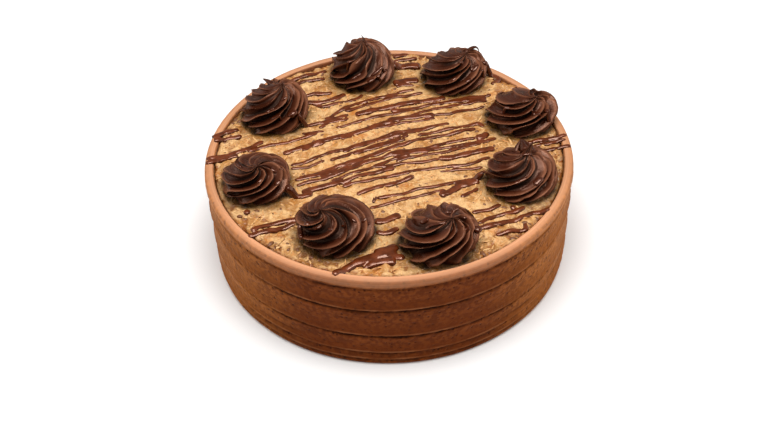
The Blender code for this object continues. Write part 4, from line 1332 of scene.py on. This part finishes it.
# Strength of the studio light from the left and from the right, and from the front and from the back.
SIDE_LIGHT = (2.0, 2.7)
DEPTH_LIGHT = (0.03, 0.22)
AIR_COLOUR = (1.0, 0.94, 0.88)
WHITE = (1.0, 1.0, 1.0)
SOFTBOX_SIZE = (0.7, 0.6)
SOFTBOX_PLACE = (0.0, -0.12, 1.1)
SOFTBOX_AIM = (0, 0, 0.05)
SOFTBOX_ENERGY = 14.0
FLOOR_SIZE = 6.0
# The floor's own glow, from beside the cake to where it is full.
FLOOR_GLOW_REACH = (0.12, 0.36)
FLOOR_GLOW = ((0.06, 0.06, 0.06), (0.3, 0.3, 0.3))
# The floor as the glossy folds mirror it: dark, so that their far sides stay brown.
FLOOR_MIRRORED = (0.2, 0.15, 0.12)


def floor_material(floor):
    """Plain pale floor with a faint glow that fades beside the cake."""
    finish = Finish("studio_floor")
    reach = finish.place("ShaderNodeVectorMath", {"operation": "LENGTH"})
    finish.feed(reach.inputs[0], finish.spot)
    mirrored = finish.place("ShaderNodeLightPath").outputs["Is Glossy Ray"]
    colour = finish.mix(finish.mottle(3.0, low=0.2, high=0.8), floor, shaded(floor, 0.99))
    glow = finish.mix(finish.ramp(reach.outputs["Value"], *FLOOR_GLOW_REACH), *FLOOR_GLOW)
    finish.surface(Base_Color=finish.mix(mirrored, colour, FLOOR_MIRRORED), Roughness=0.9,
                   Emission_Strength=1.0, Emission_Color=finish.mix(mirrored, glow, (0.0, 0.0, 0.0)))
    return finish.material


class CAKE_OT_stage(bpy.types.Operator):
    """Lay the floor and set the lights and the camera"""
    bl_idname = "cake.stage"
    bl_label = "Studio"

    def execute(self, context):
        context.scene.view_settings.view_transform = "Standard"
        self.lay_floor(context.scene.cake_colours.floor)
        self.hang_softbox()
        self.light_air(context.scene)
        self.set_camera(context.scene)
        return {"FINISHED"}

    def lay_floor(self, colour):
        form = bmesh.new()
        bmesh.ops.create_grid(form, x_segments=1, y_segments=1, size=FLOOR_SIZE)
        mesh = mesh_of("studio_floor", form)
        mesh.materials.append(floor_material(colour))
        piece = link_object("studio_floor", mesh)

    def hang_softbox(self):
        softbox = bpy.data.lights.new("softbox", "AREA")
        softbox.shape = "RECTANGLE"
        softbox.size, softbox.size_y = SOFTBOX_SIZE
        softbox.energy = SOFTBOX_ENERGY
        lamp = link_object("softbox", softbox)
        lamp.location = SOFTBOX_PLACE
        lamp.rotation_euler = (Vector(SOFTBOX_AIM) - lamp.location).to_track_quat("-Z", "Y").to_euler()

    def light_air(self, scene):
        """Light from all round: strongest low down at the left and right, and white where it is seen."""
        world = bpy.data.worlds.new("studio_air")
        scene.world = world
        world.use_nodes = True
        nodes = Nodes(world.node_tree)
        way = nodes.axes(nodes.tree.nodes.new("ShaderNodeTexCoord").outputs["Generated"])
        sides = nodes.times(nodes.times(way["X"], way["X"]), nodes.minus(1.0, way["Z"]))
        sides = nodes.times(sides, nodes.ramp(way["X"], -1.0, 1.0, *SIDE_LIGHT))
        air = nodes.plus(sides, nodes.ramp(way["Y"], -0.7, 0.9, *DEPTH_LIGHT))
        seen = nodes.place("ShaderNodeLightPath").outputs["Is Camera Ray"]
        background = nodes.tree.nodes["Background"].inputs
        nodes.feed(background["Color"], nodes.mix(seen, AIR_COLOUR, WHITE))
        nodes.feed(background["Strength"], nodes.math("MAXIMUM", air, seen))

    def set_camera(self, scene):
        data = bpy.data.cameras.new("camera")
        data.sensor_width = CAMERA_SENSOR
        data.lens = CAMERA_LENS
        data.clip_end = CAMERA_REACH
        camera = link_object("camera", data)
        back = Vector((0, -math.cos(CAMERA_RISE), math.sin(CAMERA_RISE)))
        up = Vector((0, math.sin(CAMERA_RISE), math.cos(CAMERA_RISE)))
        right = Vector((1, 0, 0))
        rolled_right = math.cos(CAMERA_ROLL) * right + math.sin(CAMERA_ROLL) * up
        rolled_up = math.cos(CAMERA_ROLL) * up - math.sin(CAMERA_ROLL) * right
        turn = Matrix((rolled_right, rolled_up, back)).transposed().to_4x4()
        camera.matrix_world = Matrix.Translation(CAMERA_AIM + back * CAMERA_DISTANCE) @ turn
        scene.camera = camera


OPERATORS = (CAKE_OT_icing, CAKE_OT_spread, CAKE_OT_shreds, CAKE_OT_pecans, CAKE_OT_rosettes,
             CAKE_OT_drizzle, CAKE_OT_stage)


class CAKE_PT_finish(bpy.types.Panel):
    """Lists the pieces of the cake's finish, with the sizes and colours they are made from"""
    bl_idname = "CAKE_PT_finish"
    bl_label = "German chocolate cake"
    bl_space_type = "VIEW_3D"
    bl_region_type = "UI"
    bl_category = "Cake"

    def draw(self, context):
        for operator in OPERATORS:
            self.layout.operator(operator.bl_idname)
        for group in (context.scene.cake_sizes, context.scene.cake_colours):
            column = self.layout.column(align=True)
            for name in group.__annotations__:
                column.prop(group, name)


CLASSES = (CakeSizes, CakeColours, *OPERATORS, CAKE_PT_finish)


def register():
    for item in CLASSES:
        bpy.utils.register_class(item)
    bpy.types.Scene.cake_sizes = PointerProperty(type=CakeSizes)
    bpy.types.Scene.cake_colours = PointerProperty(type=CakeColours)


def unregister():
    del bpy.types.Scene.cake_colours
    del bpy.types.Scene.cake_sizes
    for item in reversed(CLASSES):
        bpy.utils.unregister_class(item)


def main():
    register()
    for operator in OPERATORS:
        group, name = operator.bl_idname.split(".")
        getattr(getattr(bpy.ops, group), name)()


if __name__ == "__main__":
    main()
